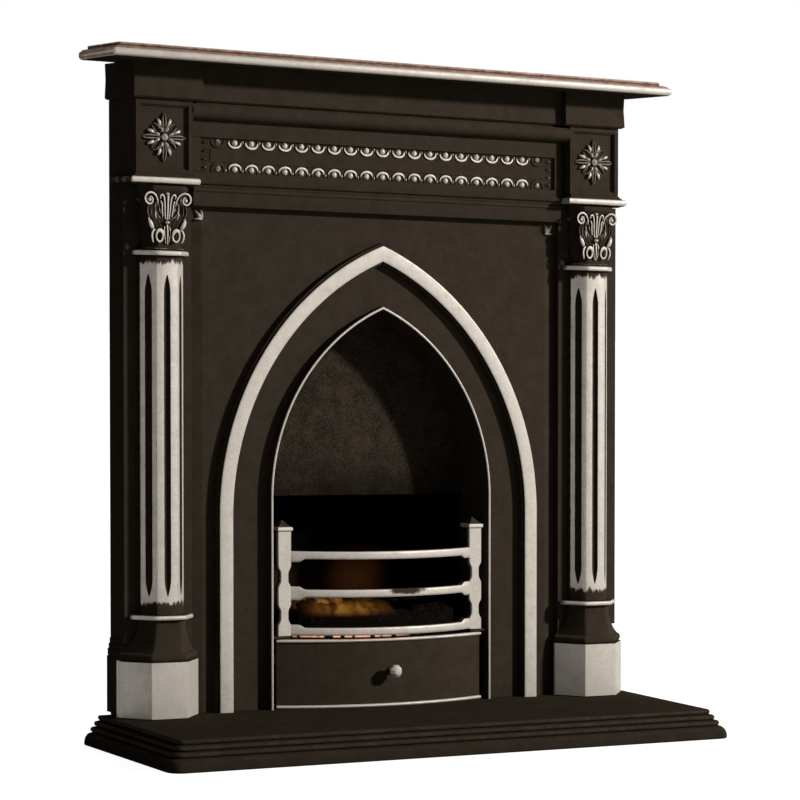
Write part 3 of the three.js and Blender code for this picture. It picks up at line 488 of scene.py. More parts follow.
noGlow = (0.0, 0.0, 0.0, 1.0)
brickLook = {
    "clay": (0.09, 0.055, 0.035, 1.0),
    "clayDark": (0.055, 0.034, 0.022, 1.0),
    "soot": (0.006, 0.0045, 0.0035, 1.0),
    "roughness": 0.93,
    # The glow colour and its strength are painted firelight: the fire's light on the brick, put in
    # as a dim emission.
    "firelight": (1.0, 0.3, 0.08, 1.0),
    "firelightStrength": 0.022,
    "glowAndFirelightPlace": {"Centre": 0.083, "Reach": 0.078, "Low": 0.18, "High": 0.335, "Edge": 0.085},
}


# Firebrick, sooty all over but for its foot and its outside, with painted firelight behind the
# fire: an emitting patch that stands in for the fire's light falling on the brick.
def makeFirebrick():
    material, graph, shader = startMaterial("sootyFirebrick")
    look = brickLook
    place = graph.axes(graph.place())
    drift = graph.multiply(graph.noise(18.0, 6.0, 0.65), 0.16)
    clean = graph.ramp(graph.subtract(place["Z"], drift), 0.02, 0.12, 1.0, 0.0)
    outside = graph.ramp(place["Y"], 0.24, 0.262)
    bare = graph.math("MAXIMUM", clean, outside)
    sooty = graph.subtract(1.0, graph.multiply(bare, 0.85))
    grain = graph.group(castGrain, {"Fineness": 260.0, "Pitting": 0.8})
    clay = graph.mixColor(grain["Mottle"], look["clay"], look["clayDark"])
    # Painted firelight: the patch of brick that glows in place of the fire's light on it.
    near = graph.group(glowAndFirelight, look["glowAndFirelightPlace"])["Mask"]
    graph.feed(shader, {
        "Base Color": graph.mixColor(sooty, clay, look["soot"]),
        "Emission Color": graph.mixColor(near, noGlow, look["firelight"]),
        "Emission Strength": look["firelightStrength"],
        "Roughness": look["roughness"], "Specular IOR Level": 0.0,
        "Normal": graph.bump(grain["Height"], 0.9, 0.0011),
    })
    return material


steelLook = {
    "steel": (0.16, 0.15, 0.14, 1.0), "rust": (0.11, 0.045, 0.02, 1.0),
    "metallic": (0.75, 0.05), "roughness": (0.42, 0.85),
}


def makeSteel():
    material, graph, shader = startMaterial("dullSteel")
    rusty = graph.ramp(graph.noise(55.0, 8.0, 0.7), 0.52, 0.68)
    grain = graph.group(castGrain, {"Fineness": 900.0, "Pitting": 0.2})
    graph.feed(shader, {
        "Base Color": graph.mixColor(rusty, steelLook["steel"], steelLook["rust"]),
        "Metallic": graph.mixValue(rusty, *steelLook["metallic"]),
        "Roughness": graph.mixValue(rusty, *steelLook["roughness"]),
        "Normal": graph.bump(grain["Height"], 0.4, 0.0002),
    })
    return material


emberLook = {
    "coal": (0.007, 0.005, 0.004, 1.0),
    "ash": (0.018, 0.013, 0.01, 1.0),
    "roughness": 0.95,
    "deep": (0.6, 0.2, 0.03, 1.0),
    "hot": (1.0, 0.46, 0.08, 1.0),
    "strength": 0.27,
    "streaks": (1.0, 0.12, 0.3),
    "glowAndFirelightPlace": {"Centre": -0.066, "Reach": 0.102, "Low": 0.213, "High": 0.246, "Edge": 0.014},
}


def makeEmber():
    material, graph, shader = startMaterial("glowingCoal")
    look = emberLook
    patches = graph.ramp(graph.noise(42.0, 3.0, 0.5, look["streaks"]), 0.32, 0.66, 0.3, 1.0)
    glowShare = graph.multiply(patches, graph.group(glowAndFirelight, look["glowAndFirelightPlace"])["Mask"])
    ashy = graph.ramp(graph.noise(140.0, 6.0, 0.7), 0.5, 0.7)
    flame = graph.mixColor(glowShare, look["deep"], look["hot"])
    graph.feed(shader, {
        "Base Color": graph.mixColor(ashy, look["coal"], look["ash"]),
        "Roughness": look["roughness"], "Specular IOR Level": 0.0,
        "Emission Color": graph.mixColor(glowShare, noGlow, flame),
        "Emission Strength": look["strength"],
    })
    return material


grateLook = {
    # The glow colour is painted firelight on the grate's edge.
    "firelight": (1.0, 0.42, 0.25, 1.0), "strength": 1.15, "dash": 46.0,
    "glowAndFirelightPlace": {"Centre": -0.078, "Reach": 0.155, "Low": 0.174, "High": 0.1885},
}


# The grate's iron, with painted firelight in dashes along its front edge: a glow that stands in for
# the fire's light on the iron.
def makeGrateIron():
    material = ironMaterial("grateIron", polished=False)
    graph = Wiring(material.node_tree)
    look = grateLook
    # Painted firelight: dashes of glow along the grate's front edge.
    dashes = graph.ramp(graph.noise(look["dash"], 1.0, 0.5, (1.0, 0.0, 0.0)), 0.44, 0.5)
    glowShare = graph.multiply(dashes, graph.group(glowAndFirelight, look["glowAndFirelightPlace"])["Mask"])
    graph.feed(material.node_tree.nodes["Principled BSDF"], {
        "Emission Color": graph.mixColor(glowShare, noGlow, look["firelight"]),
        "Emission Strength": look["strength"],
    })
    return material


smokeIron = makeSmokeIron()
firebrick = makeFirebrick()
dullSteel = makeSteel()
glowingCoal = makeEmber()
grateIron = makeGrateIron()
print("stage: materials made")


hearthLook = {
    # The roll's and the reeds' polish values are a painted highlight, drawn as a faint polish on
    # their crests.
    "corner": 24.0, "rollShare": 0.42, "rollDepth": 12.0, "rollHighlight": 0.45,
    "reeds": 3, "reedStep": 7.2, "reedBulge": 3.2, "reedHighlight": 0.465, "groove": 1.9,
}


# A quarter roll at the foot, then reeds stepping in, and a flat top. The roll's upper part and the
# reeds' crests get a faint polish that is a painted highlight.
def makeHearth():
    look = hearthLook
    box = span("hearth")
    levels = []

    def level(inset, z, polish=0.0):
        radius = max(5.0, look["corner"] - inset * 0.5)
        plan = roundedPlan(box.right - inset, box.front + inset, box.back, radius, 12)
        levels.append((plan, z, polish))

    rollTop = box.top * look["rollShare"]
    level(1.2, 0)
    level(0, 1.5)
    for i, angle in enumerate(arc(8, 0, 90)):
        inset = look["rollDepth"] * (1 - math.cos(angle))
        z = 4 + (rollTop - 4) * math.sin(angle)
        level(inset, z, look["rollHighlight"] if i > 3 else 0.0)
    pitch = (box.top - rollTop) / look["reeds"]
    inset = look["rollDepth"]
    for reed in range(look["reeds"]):
        foot = rollTop + reed * pitch
        level(inset + look["groove"] + 2.2, foot + 1.2)
        for i, angle in enumerate(arc(6)):
            z = foot + 1.6 + (pitch - 1.6) * (0.5 + 0.5 * math.sin(angle))
            polish = look["reedHighlight"] if 2 <= i <= 5 else 0.0
            level(inset + look["reedBulge"] * (1 - math.cos(angle)), z, polish)
        inset += look["reedStep"]
    level(inset + 1.5, box.top - 0.2)
    level(inset + 4.0, box.top)
    makePiece("hearthSlab", stack(levels), hearthIron, "hearth", angle=50)


shelfLook = {
    # The slope's polish is partly tarnish and partly painted shade.
    "corner": 4.0, "nose": 14.6, "slope": 5.0, "stepInset": 17.0, "slopePolishAndShade": 0.53,
    "endDimming": 0.545,  # the ends are dimmed: painted shade on the ends, which turn from the light
}


# A bull nose, a hollow slope and a raised step. The slope and the step are half polished into
# bronze: partly tarnish, partly painted shade.
def makeShelf():
    look = shelfLook
    box = span("mantel_shelf")
    nose = box.low + look["nose"]
    step = nose + look["slope"]
    inset = look["stepInset"]
    levels = []

    def level(reach, z, polish):
        plan = roundedPlan(box.right - reach, box.front + reach, box.back, look["corner"], 4)
        levels.append((plan, z, polish))

    level(7, box.low, 0.0)
    level(4.5, box.low + 0.3, 0.25)
    for out, up, polish in halfRound(8, 0.7):
        z = (box.low + nose) / 2 + 0.5 + (look["nose"] / 2 - 0.8) * up
        level(4.2 * (1 - out) ** 1.3, z, polish)
    level(4.6, nose, 0.5)
    for i, angle in enumerate(arc(6, 0, 90)):
        reach = 5.2 + (inset - 5.2) * (1 - math.cos(angle))
        z = nose + 0.6 + (step - nose - 0.6) * (i / 6) ** 0.8
        level(reach, z, look["slopePolishAndShade"])
    level(inset + 0.6, step + 0.4, 0.45)
    level(inset, step + 1.4, 0.5)
    level(inset, box.top - 1.8, look["slopePolishAndShade"])
    level(inset + 0.8, box.top - 0.5, 0.6)
    level(inset + 2.2, box.top, 0.3)
    shape = stack(levels)
    # Painted shade: the polish at the shelf's ends is dimmed.
    for i, (x, y, _) in enumerate(shape.points):
        if box.right - abs(x) < look["corner"] and y > box.front + look["corner"]:
            shape.polish[i] *= look["endDimming"]
    makePiece("mantelShelf", shape, shelfIron, "mantel_shelf", angle=32)


# The side plate behind each column: its front face, its outer side and its back.
plateLook = {"face": -46.3, "side": 507.3, "back": 38.0}


# A column's plan, canted at the two front corners. Each corner is eased with 4 points.
def cantedPlan(inner, outer, cant, front, back, ease):
    corners = [Vector(corner) for corner in (
        (outer, back), (inner, back), (inner, front + cant), (inner + cant, front),
        (outer - cant, front), (outer, front + cant),
    )]
    plan = []
    for i, corner in enumerate(corners):
        before = corners[i - 1] - corner
        after = corners[(i + 1) % len(corners)] - corner
        reach = min(ease, before.length * 0.4, after.length * 0.4)
        start = corner + before.normalized() * reach
        end = corner + after.normalized() * reach
        for t in (0, 1 / 3, 2 / 3, 1):
            plan.append(tuple(start * (1 - t) ** 2 + corner * 2 * t * (1 - t) + end * t * t))
    return plan


ringLook = {"cant": 30.0, "bulge": 3.4, "ease": 6.0}


def makeRings():
    look = ringLook
    for name, node in (("upperRing", "upper_ring"), ("lowerRing", "lower_ring")):
        box = span("right_" + node)
        levels = []
        for i, angle in enumerate(arc(10)):
            inset = look["bulge"] * (1 - math.cos(angle))
            plan = cantedPlan(box.left + inset, box.right - inset, look["cant"],
                              box.front + inset, box.back, look["ease"])
            z = box.middle + box.rise * math.sin(angle)
            levels.append((plan, z, 1.0 if 2 < i < 9 else 0.1))
        makePair(name, stack(levels), polishedIron, node, angle=40)


shaftLook = {
    "cant": 22.0, "flute": 12.7, "depth": 5.2, "lip": 1.2, "corner": 0.9,
    "margin": 30.0, "point": 34.0,
    "lipPolish": 0.5, "cornerPolish": (0.62, 0.77),
}


# The shaft seen from above as (x, y, polish), a rounded flute in each of its three faces.
def shaftPlan(box, share):
    look = shaftLook
    cant = look["cant"]
    corners = [Vector(corner) for corner in (
        (box.left, box.front + cant), (box.left + cant, box.front),
        (box.right - cant, box.front), (box.right, box.front + cant),
    )]
    points = [(box.right, box.back, 0.0), (box.left, box.back, 0.0)]
    half = look["flute"] / 2 * share
    for a, b in zip(corners, corners[1:]):
        along = (b - a).normalized()
        inward = Vector((-along.y, along.x))
        middle = (a + b) / 2
        lip = along * (half + look["lip"])
        row = [(a + along * look["corner"], look["cornerPolish"][0]), (middle - lip, 1.0)]
        for k, angle in enumerate(arc(8, 0, 180)):
            dig = look["depth"] * share * math.sin(angle)
            polish = look["lipPolish"] if k in (0, 8) else 0.0
            if share <= 0.02:  # above and below the flute
                polish = 1.0
            row.append((middle - along * half * math.cos(angle) + inward * dig, polish))
        row += [(middle + lip, 1.0), (b - along * look["corner"], look["cornerPolish"][1])]
        points += [(point.x, point.y, polish) for point, polish in row]
    return points


def makeShafts():
    look = shaftLook
    box = span("right_column_shaft")
    tall = box.top - box.low
    point = look["point"]
    foot = look["margin"]
    head = tall - foot
    heights = [0.0]
    heights += [foot + point * k / 8 for k in range(9)]
    heights += [foot + point + (head - foot - 2 * point) * k / 12 for k in range(1, 12)]
    heights += [head - point * (8 - k) / 8 for k in range(9)]
    heights.append(tall)
    rings = []
    polish = []
    for height in heights:
        share = math.sqrt(smooth(0.0, point, min(height - foot, head - height)))
        plan = shaftPlan(box, max(share, 0.004))
        rings.append([(x, y, box.low + height) for x, y, _ in plan])
        polish.append([value for _, _, value in plan])
    makePair("columnShaft", skin(rings, polish), shaftIron, "column_shaft")


baseLook = {
    "cant": 42.0, "topCant": 22.0, "torus": 13.0, "power": 2.2, "neck": 3.0,
    "flankSteps": ((5.5, 0, 13), (3.5, 13, 22), (1.5, 22, 31)),  # reach, foot and top
}


# A torus at the foot, then a hollow that narrows to the shaft, and steps on the outer flank.
def makeBases():
    look = baseLook
    box = span("right_column_base")
    shaft = span("right_column_shaft")
    plinth = span("right_plinth")
    levels = []

    def level(share, inset, z):
        near = (shaft.left - look["neck"], shaft.right + look["neck"], shaft.front - 2)
        far = (plinth.left + inset, plinth.right - inset, box.front + inset)
        inner, outer, front = [n + (f - n) * share for n, f in zip(near, far)]
        cant = look["topCant"] + (look["cant"] - look["topCant"]) * share
        levels.append((cantedPlan(inner, outer, cant, front, plateLook["face"], 3.0), z, 0.0))

    half = look["torus"] / 2
    hollow = box.low + look["torus"] + 1.0
    for angle in arc(8):
        level(1.0, 1.0 + 3.0 * (1 - math.cos(angle)), box.low + half + half * math.sin(angle))
    for i in range(15):
        level((1 - i / 14) ** look["power"], 6.0, hollow + (box.top - hollow) * i / 14)
    shape = stack(levels)
    side = plateLook["side"]
    for reach, foot, top in look["flankSteps"]:
        shape.join(boxShape(side, side + reach, plateLook["face"] - 3, plateLook["back"],
                            box.low + foot, box.low + top, 0.0, 0.8))
    makePair("columnBase", shape, reliefIron, "column_base", angle=35)


plinthLook = {
    "innerCant": range(8, 13),  # the plan's points on the cant towards the fire
    "innerPolish": 0.84, "strip": (24.5, 7.8), "flank": 7.0,
}


def makePlinths():
    look = plinthLook
    box = span("right_plinth")
    face = plateLook["face"]
    side = plateLook["side"]
    levels = []
    for inset, z, polish in (
        (1.2, box.low, 0.1), (0, box.low + 1.2, 0.8), (0, box.low + 5, 1.0),
        (0, box.top - 4, 1.0), (0, box.top - 1.2, 0.85), (1.2, box.top, 0.1),
    ):
        plan = cantedPlan(box.left + inset, box.right - inset, baseLook["cant"],
                          box.front + inset, face, 1.2)
        levels.append((plan, z, polish))
    shape = stack(levels)
    count = len(levels[0][0])
    for i in range(len(shape.points)):
        if i % count in look["innerCant"]:
            shape.polish[i] *= look["innerPolish"]
    wide, deep = look["strip"]
    shape.join(
        boxShape(box.right - wide, box.right, face - 0.2, face + deep, box.low, box.top, 1.0),
        boxShape(side, side + look["flank"], face - 0.2, plateLook["back"], box.low, box.top),
    )
    makePair("plinthBlock", shape, polishedIron, "plinth")


abacusLook = {
    "foot": [(11.5, 0.0, 0), (9.5, 1.2, 0), (4.5, 2.6, 0), (3.2, 3.6, 0)],  # inset, rise, polish
    "head": [(6.5, 14.8, 0), (6.8, 17.0, 0), (9.6, 17.6, 0), (9.8, 20.0, 0), (11.6, 20.8, 0),
             (11.8, 22.0, 0)],
    # The flank value is painted shade, dimming the polish on the outer flank.
    "back": 12.0, "flankShade": 0.48,
}


def makeAbaci():
    look = abacusLook
    box = span("right_abacus")
    face = plateLook["face"]
    side = plateLook["side"]
    edge = side + 0.1
    roll = [(3.0 * (1 - out), 9.0 + 5.4 * up, polish) for out, up, polish in halfRound(8, 0.4)]
    levels = []
    for inset, rise, polish in look["foot"] + roll + look["head"]:
        front = box.front + inset
        flank = max(edge, box.right - inset)
        plan = [
            (side, face), (box.left + inset, face), (box.left + inset, front), (flank, front),
            (flank, front + 7), (flank, look["back"]), (side, look["back"]),
        ]
        levels.append((plan, box.low + rise, polish))
    shape = stack(levels)
    # Painted shade: the outer flank's polish is dimmed.
    for i, (x, y, _) in enumerate(shape.points):
        if x > edge and y > box.front + 6:
            shape.polish[i] *= look["flankShade"]
    makePair("abacusMould", shape, polishedIron, "abacus", angle=34)


archLook = {
    "outer": (336.0, 400.0, 527.0),  # half width, height of the spring, radius
    "opening": (228.0, 432.0, 372.0),
    "foot": 51.3, "band": 27.3, "fillet": 4.0, "filletDrop": 5.3, "bead": 4.5, "wall": 6.0,
}


# A pointed arch in X and Z from the left foot to the right, drawn inside its outline by offset.
def archPath(outline, offset=0.0):
    half, spring, radius = outline
    foot = archLook["foot"]
    inner = radius - offset
    centre = radius - half
    left = [(offset - half, foot + (spring - foot) * i / 6) for i in range(6)]
    for angle in arc(40, 180, math.degrees(math.acos(-centre / inner))):
        left.append((centre + inner * math.cos(angle), spring + inner * math.sin(angle)))
    return left + [(-x, z) for x, z in reversed(left[:-1])]


# A closed section of (offset, y, polish) carried along an arch.
def archSweep(outline, section):
    paths = [archPath(outline, offset) for offset, _, _ in section]
    rings = []
    for row in zip(*paths):
        rings.append([(x, y, z) for (x, z), (_, y, _) in zip(row, section)])
    return skin(rings, [[polish for _, _, polish in section]] * len(rings))


# The arch band's section: on each edge a low fillet, a quirk and the edge of the face.
def bandSection(front, back):
    lip = archLook["fillet"]
    low = front + archLook["filletDrop"]
    half = [
        (-lip, back, 0.0), (-lip, low + 0.7, 0.1), (0.7 - lip, low, 0.38), (-1.0, low, 0.38),
        (-0.5, low + 0.6, 0.0), (0.0, low + 0.6, 0.0), (0.0, front + 2.4, 0.0),
        (0.5, front + 1.0, 0.6), (1.8, front + 0.2, 1.0), (3.2, front, 1.0),
    ]
    return half + [(archLook["band"] - x, y, polish) for x, y, polish in reversed(half)]


def makeArch():
    look = archLook
    outer = look["outer"]
    opening = look["opening"]
    box = span("arch_band")
    band = archSweep(outer, bandSection(box.front, box.back))
    makePiece("archBand", band, polishedIron, "arch_band", angle=28)

    plate = span("arch_plate")
    rings = []
    for (ox, oz), (ix, iz) in zip(archPath(outer, look["band"] / 2 + 0.3), archPath(opening)):
        rings.append([
            (ox, plate.front, oz), (ix, plate.front, iz), (ix, plate.back, iz),
            (ox, plate.back, oz),
        ])
    makePiece("archPlate", skin(rings), blackIron, "arch_plate", angle=20)

    box = span("arch_bead")
    wide = look["bead"]
    section = [(-wide, box.back, 0.0), (-wide, box.front + 3.0, 0.05)]
    for out, up, polish in halfRound(6, 0.4):
        section.append((wide / 2 * (up - 1), box.front + 2.0 - 2.0 * out, polish))
    section += [(0.0, box.front + 3.0, 0.05), (0.0, box.back, 0.0)]
    bead = archSweep(opening, section)
    makePiece("archBead", bead, polishedIron, "arch_bead")
    makeTunnel(opening, plate.back + 0.3, span("arch_reveal").back)


# The tunnel's wall, strips that meet the fire cheeks, and rests for the bars and the grate.
def makeTunnel(opening, front, back):
    wall = archLook["wall"]
    section = [(-wall, front, 0.0), (0.0, front, 0.0), (0.0, back, 0.0), (-wall, back, 0.0)]
    shape = archSweep(opening, section)
    cheek = span("left_fire_cheek").front - 0.3
    smoke = span("smoke_plate").low - 0.3
    bars = span("front_bars").low - 0.3
    grate = span("bottom_grate").low - 0.3
    strips = [(opening[0], opening[0] + wall, back - 1, cheek, archLook["foot"], smoke, 0.2)]
    rests = [
        (192, 227.7, -47, front + 14, bars - 5, bars, 0.6),
        (174, 229, front + 22, front + 48, grate - 5, grate, 0.6),
    ]
    for boxes in (strips, rests):
        for side in (-1, 1):
            for near, far, y0, y1, z0, z1, ease in boxes:
                x0, x1 = sorted((side * near, side * far))
                shape.join(boxShape(x0, x1, y0, y1, z0, z1, 0.0, ease))
    makePiece("archTunnel", shape, blackIron, "arch_reveal", angle=20)


friezeLook = {"front": -54.0, "field": 5.5, "reach": 5.0}


# Mouldings below, then a frame of flat margins around the sunk field.
def makeFrieze():
    box = span("frieze_panel")
    border = span("egg_dart_border")
    front = friezeLook["front"]
    reach = friezeLook["reach"]
    mould = [(2.0, 0), (0.6, 0.5), (0, 1.6), (0, 24.5)]  # out from the front, up from the foot
    mould += [(-reach * 0.55 * math.cos(a), 28.6 + 3.4 * math.sin(a)) for a in arc(6)]
    mould += [(0, 33.4), (-1.2, 34.2), (-1.2, 36.6), (0.6, 37.4)]
    mould += [(-reach * math.sin(a), 42.6 - 4.6 * math.cos(a)) for a in arc(6, 0, 90)]
    mould += [(-reach, 44.0), (-reach * 0.4, 44.6), (-reach * 0.3, 47.0), (0, 47.8)]
    profile = [(box.back, box.low)] + [(front + out, box.low + up) for out, up in mould]
    profile += [(front, border.low - 0.6), (front + 1, border.low), (box.back, border.low)]
    shape = drawAcross(profile, box.left, box.right)
    for x0, x1, face, z0, z1, ease in (
        (box.left, box.right, front, border.top, box.top, 0.8),
        (box.left, -border.right, front, border.low, border.top, 0.8),
        (border.right, box.right, front, border.low, border.top, 0.8),
        (-border.right, border.right, front + friezeLook["field"], border.low, border.top, 0.0),
    ):
        shape.join(boxShape(x0, x1, face, box.back, z0, z1, 0.0, ease))
    makePiece("friezePanel", shape, blackIron, "frieze_panel")


def makeRoll():
    box = span("roll_moulding")
    root = box.back - 1.0
    profile = [(box.back, box.top), (box.back, box.low)]
    for angle in arc(14):
        out = (root - box.front) * math.cos(angle)
        profile.append((root - out, box.middle + box.rise * math.sin(angle)))
    roll = drawAcross(profile, box.left, box.right)
    makePiece("rollMould", roll, blackIron, "roll_moulding")


# A shallow bow seen from above: its radius, and how far back its centre lies.
def bowOf(look):
    radius = (look["half"] ** 2 + look["bow"] ** 2) / (2 * look["bow"])
    return radius, radius - look["side"] - look["bow"]


# A closed section of (offset, z, polish) carried along a bow.
def bowSweep(look, section, steps=56, bend=None):
    radius, centre = bowOf(look)
    sweep = math.degrees(math.asin(look["half"] / radius))
    rings = []
    for angle in arc(steps, -sweep, sweep):
        ring = []
        for offset, z, _ in section:
            r = radius - offset
            height = bend(radius * math.sin(angle), z) if bend else z
            ring.append((r * math.sin(angle), centre - r * math.cos(angle), height))
        rings.append(ring)
    return turnOutwards(skin(rings, [[polish for _, _, polish in section]] * len(rings)))


barsLook = {
    "half": 190.0, "side": 47.0, "bow": 45.0, "height": 14.6, "pitch": 69.0, "lug": 5.5,
    "section": (  # depth from the front, share of the height, polish
        (10, 0, 0), (4, 0, 0.1), (1.4, 0.04, 1.0), (0.3, 0.14, 1.0), (0, 0.32, 1.0),
        (0, 0.68, 1.0), (0.3, 0.86, 1.0), (1.4, 0.96, 1.0), (4, 1, 0.1), (10, 1, 0),
    ),
    "smudge": 0.64, "smudgeX": 30.0, "smudgeReach": 62.0,
}


# Three bars that thicken at their ends, the middle one smudged along its top, and two posts.
def makeBars():
    look = barsLook
    low = span("front_bars").low
    shape = Shape()
    for row, (down, up) in enumerate(((0, 1), (1, 1), (1, 0))):
        foot = low + row * look["pitch"]

        def bend(x, z):
            lug = look["lug"] * (1 - smooth(13.0, 24.0, look["half"] - abs(x)))
            share = (z - foot) / look["height"]
            rise = lug * up * smooth(0.4, 1.0, share)
            return z + rise - lug * down * (1 - smooth(0.0, 0.6, share))

        section = []
        for depth, share, polish in look["section"]:
            section.append((depth, foot + look["height"] * share, polish))
        bar = bowSweep(look, section, 96, bend)
        if row == 1:
            for i, (x, _, z) in enumerate(bar.points):
                upper = smooth(0.0, 0.5, (z - foot) / look["height"])
                aside = (x - look["smudgeX"]) / look["smudgeReach"]
                bar.polish[i] -= look["smudge"] * upper * math.exp(-aside**2)
        shape.join(bar)
    for side in (-1, 1):
        shape.join(makePost(side * (look["half"] + postLook["aside"]), low))
    makePiece("fireBars", shape, polishedIron, "front_bars", "fire_bars", 35)


postLook = {
    "half": 13.25, "aside": 12.25, "waist": 5.5, "front": -47.0, "depth": 12.0,
    "height": 188.0, "steps": 52,
}


# A post with a waist between each two bars, polished on its front.
def makePost(x, low):
    look = postLook
    pitch = barsLook["pitch"]
    front = look["front"]
    back = front + look["depth"]
    levels = []
    for i in range(look["steps"] + 1):
        z = look["height"] * i / look["steps"]
        local = z % pitch if z < 2 * pitch else 0.0
        waist = smooth(17, 30, local) * (1 - smooth(44, 57, local))
        half = look["half"] - look["waist"] * waist
        plan = [
            (x - half, front + 1), (x - half + 1, front), (x + half - 1, front),
            (x + half, front + 1), (x + half, back), (x - half, back),
        ]
        levels.append((plan, low + z, 1.0))
    shape = stack(levels)
    shape.polish = [1.0 if y < front + 3 else 0.0 for _, y, _ in shape.points]
    return shape


capLook = {
    "profile": (  # inset, rise, polish
        (3.0, 0.0, 0.2), (0.6, 0.8, 0.8), (0.0, 2.0, 1.0), (0.0, 5.8, 1.0), (0.6, 7.2, 1.0),
        (2.6, 8.0, 0.6), (3.4, 8.4, 0.1), (3.6, 8.8, 0.35), (14.6, 19.8, 0.5),
        (14.9, 20.0, 0.7),
    ),
}


def makeCaps():
    for side in ("left", "right"):
        box = span(side + "_post_cap")
        levels = []
        for inset, rise, polish in capLook["profile"]:
            plan = boxPlan(box.left, box.right, box.front, box.back, inset)
            levels.append((plan, box.low + rise, polish))
        makePiece(side + "PostCap", stack(levels), polishedIron,
                  side + "_post_cap", "fire_bars", 25)


drawerLook = {"half": 216.0, "side": 40.0, "bow": 37.0, "wall": 8.0, "bead": 4.0}


def makeDrawer():
    look = drawerLook
    wall = look["wall"]
    box = span("ash_cover")
    cover = bowSweep(look, [
        (wall, box.low, 0), (0.6, box.low, 0), (0, box.low + 0.6, 0), (0, box.top - 0.6, 0),
        (0.6, box.top, 0), (wall, box.top, 0),
    ])
    makePiece("ashCover", cover, blackIron, "ash_cover", "ash_drawer")
    for edge in ("Top", "Bottom"):
        node = f"cover_{edge.lower()}_bead"
        box = span(node)
        section = [(wall, box.top, 0.0), (wall, box.low, 0.0), (0.5, box.low, 0.1)]
        for out, up, polish in halfRound(8, 0.3):
            section.append((-look["bead"] * out, box.middle + box.rise * up, polish))
        section.append((0.5, box.top, 0.1))
        bead = bowSweep(look, section)
        makePiece(f"cover{edge}Bead", bead, polishedIron, node, "ash_drawer", 32)


knobLook = {
    "radius": 12.5, "sides": 8, "cover": -77.0,
    "shank": [(0.01, 19.0), (3.0, 19.0), (3.0, -0.3), (8.5, -0.3), (8.0, -1.6), (5.2, -3.0),
              (4.8, -9.0), (6.5, -11.0)],  # radius, and y from the cover's face
}


def makeKnob():
    look = knobLook
    box = span("ash_knob")
    radius = look["radius"]
    profile = look["shank"] + [
        (radius - 1.5, -14.5), (radius, -17.5), (radius, -21.5), (radius - 2.2, -24.5),
        (radius * 0.5, -27.4), (0.01, -28.0),
    ]
    turns = [2 * math.pi * (k + 0.5) / look["sides"] for k in range(look["sides"])]
    rings = []
    for r, y in profile:
        rings.append([
            (r * math.cos(turn), look["cover"] + y, box.middle + r * math.sin(turn))
            for turn in turns
        ])
    polish = [[1.0 if y < -12 else 0.3] * look["sides"] for _, y in profile]
    knob = turnOutwards(skin(rings, polish))
    makePiece("ashKnob", knob, polishedIron, "ash_knob", "ash_drawer", 8)


coalLook = {
    "count": 150, "seed": 7, "small": 13.0, "large": 24.0, "rows": 6, "columns": 9,
    "half": 168.0, "gap": 22.0, "bed": ((0.1, 6), (30, 8), (36, 20)),  # rise and inset
}


# A lump of coal: a ball of latitude rings knocked out of shape.
def coal(x, y, z, size, spin):
    rows = coalLook["rows"]
    columns = coalLook["columns"]
    rings = []
    for r in range(rows + 1):
        tilt = math.pi * (r + 0.15) / (rows + 0.3)
        ring = []
        for c in range(columns):
            turn = 2 * math.pi * c / columns
            knock = size * spin.uniform(0.72, 1.08)
            ring.append((
                x + knock * math.sin(tilt) * math.cos(turn) * 1.15,
                y + knock * math.sin(tilt) * math.sin(turn) * 0.9,
                z - knock * math.cos(tilt) * 0.72,
            ))
        rings.append(ring)
    return turnOutwards(skin(rings))


# A low bed that follows the bars' bow, heaped with coals.
def makeCoals():
    look = coalLook
    box = span("fuel_bed")
    spin = random.Random(look["seed"])
    radius, centre = bowOf(barsLook)
    half = look["half"]

    def frontAt(x):
        return centre - math.sqrt(radius * radius - x * x) + look["gap"]

    bed = []
    for rise, inset in look["bed"]:
        xs = [(half - 4) * (k / 7 - 1) for k in range(15)]
        plan = [(x, frontAt(x) + inset) for x in xs]
        plan += [(x, box.back - 14 - inset) for x in (150 - inset, inset - 150)]
        bed.append((plan, box.low + rise, 0.0))
    shape = stack(bed)
    for _ in range(look["count"]):
        size = spin.uniform(look["small"], look["large"])
        x = spin.uniform(size - half, half - size)
        front = frontAt(x) + size
        y = front + spin.uniform(0, 1) ** 1.6 * (box.back - 26 - size - front)
        limit = box.right - 4 - size * 1.2 - max(0.0, (y - 30) * 0.28)
        z = spin.uniform(box.low + size * 0.8, box.top - size * 0.8)
        shape.join(coal(clamp(-limit, x, limit), y, z, size, spin))
    makePiece("glowingCoals", shape, glowingCoal, "fuel_bed", "fire_grate", 20)


makeHearth()
makeShelf()
makeRings()
makeShafts()
makeBases()
makePlinths()
makeAbaci()
makeArch()
makeFrieze()
makeRoll()
makeBars()
makeCaps()
makeDrawer()
makeKnob()
makeCoals()
print("stage: plain pieces made")


# Ornament is drawn flat, with u across, v up and w out of the face, and kept as (u, -w, v).
# This sets it on a face, turned about the upright axis.
def onFace(shape, x, y, z=0.0, turn=0.0):
    c = math.cos(turn)
    s = math.sin(turn)
    return shape.changed(lambda a, b, up: (x + a * c - b * s, y + a * s + b * c, z + up))


# Points eased through a short list of control points, so that a leaf bends smoothly.
def eased(points, steps):
    ends = [points[0], *points, points[-1]]
    out = []
    for four in zip(ends, ends[1:], ends[2:], ends[3:]):
        for k in range(steps):
            t = k / steps
            out.append(tuple(
                0.5 * (2 * b + (c - a) * t + (2 * a - 5 * b + 4 * c - d) * t * t
                       + (3 * b - a - 3 * c + d) * t * t * t)
                for a, b, c, d in zip(*four)
            ))
    return out + [tuple(points[-1])]


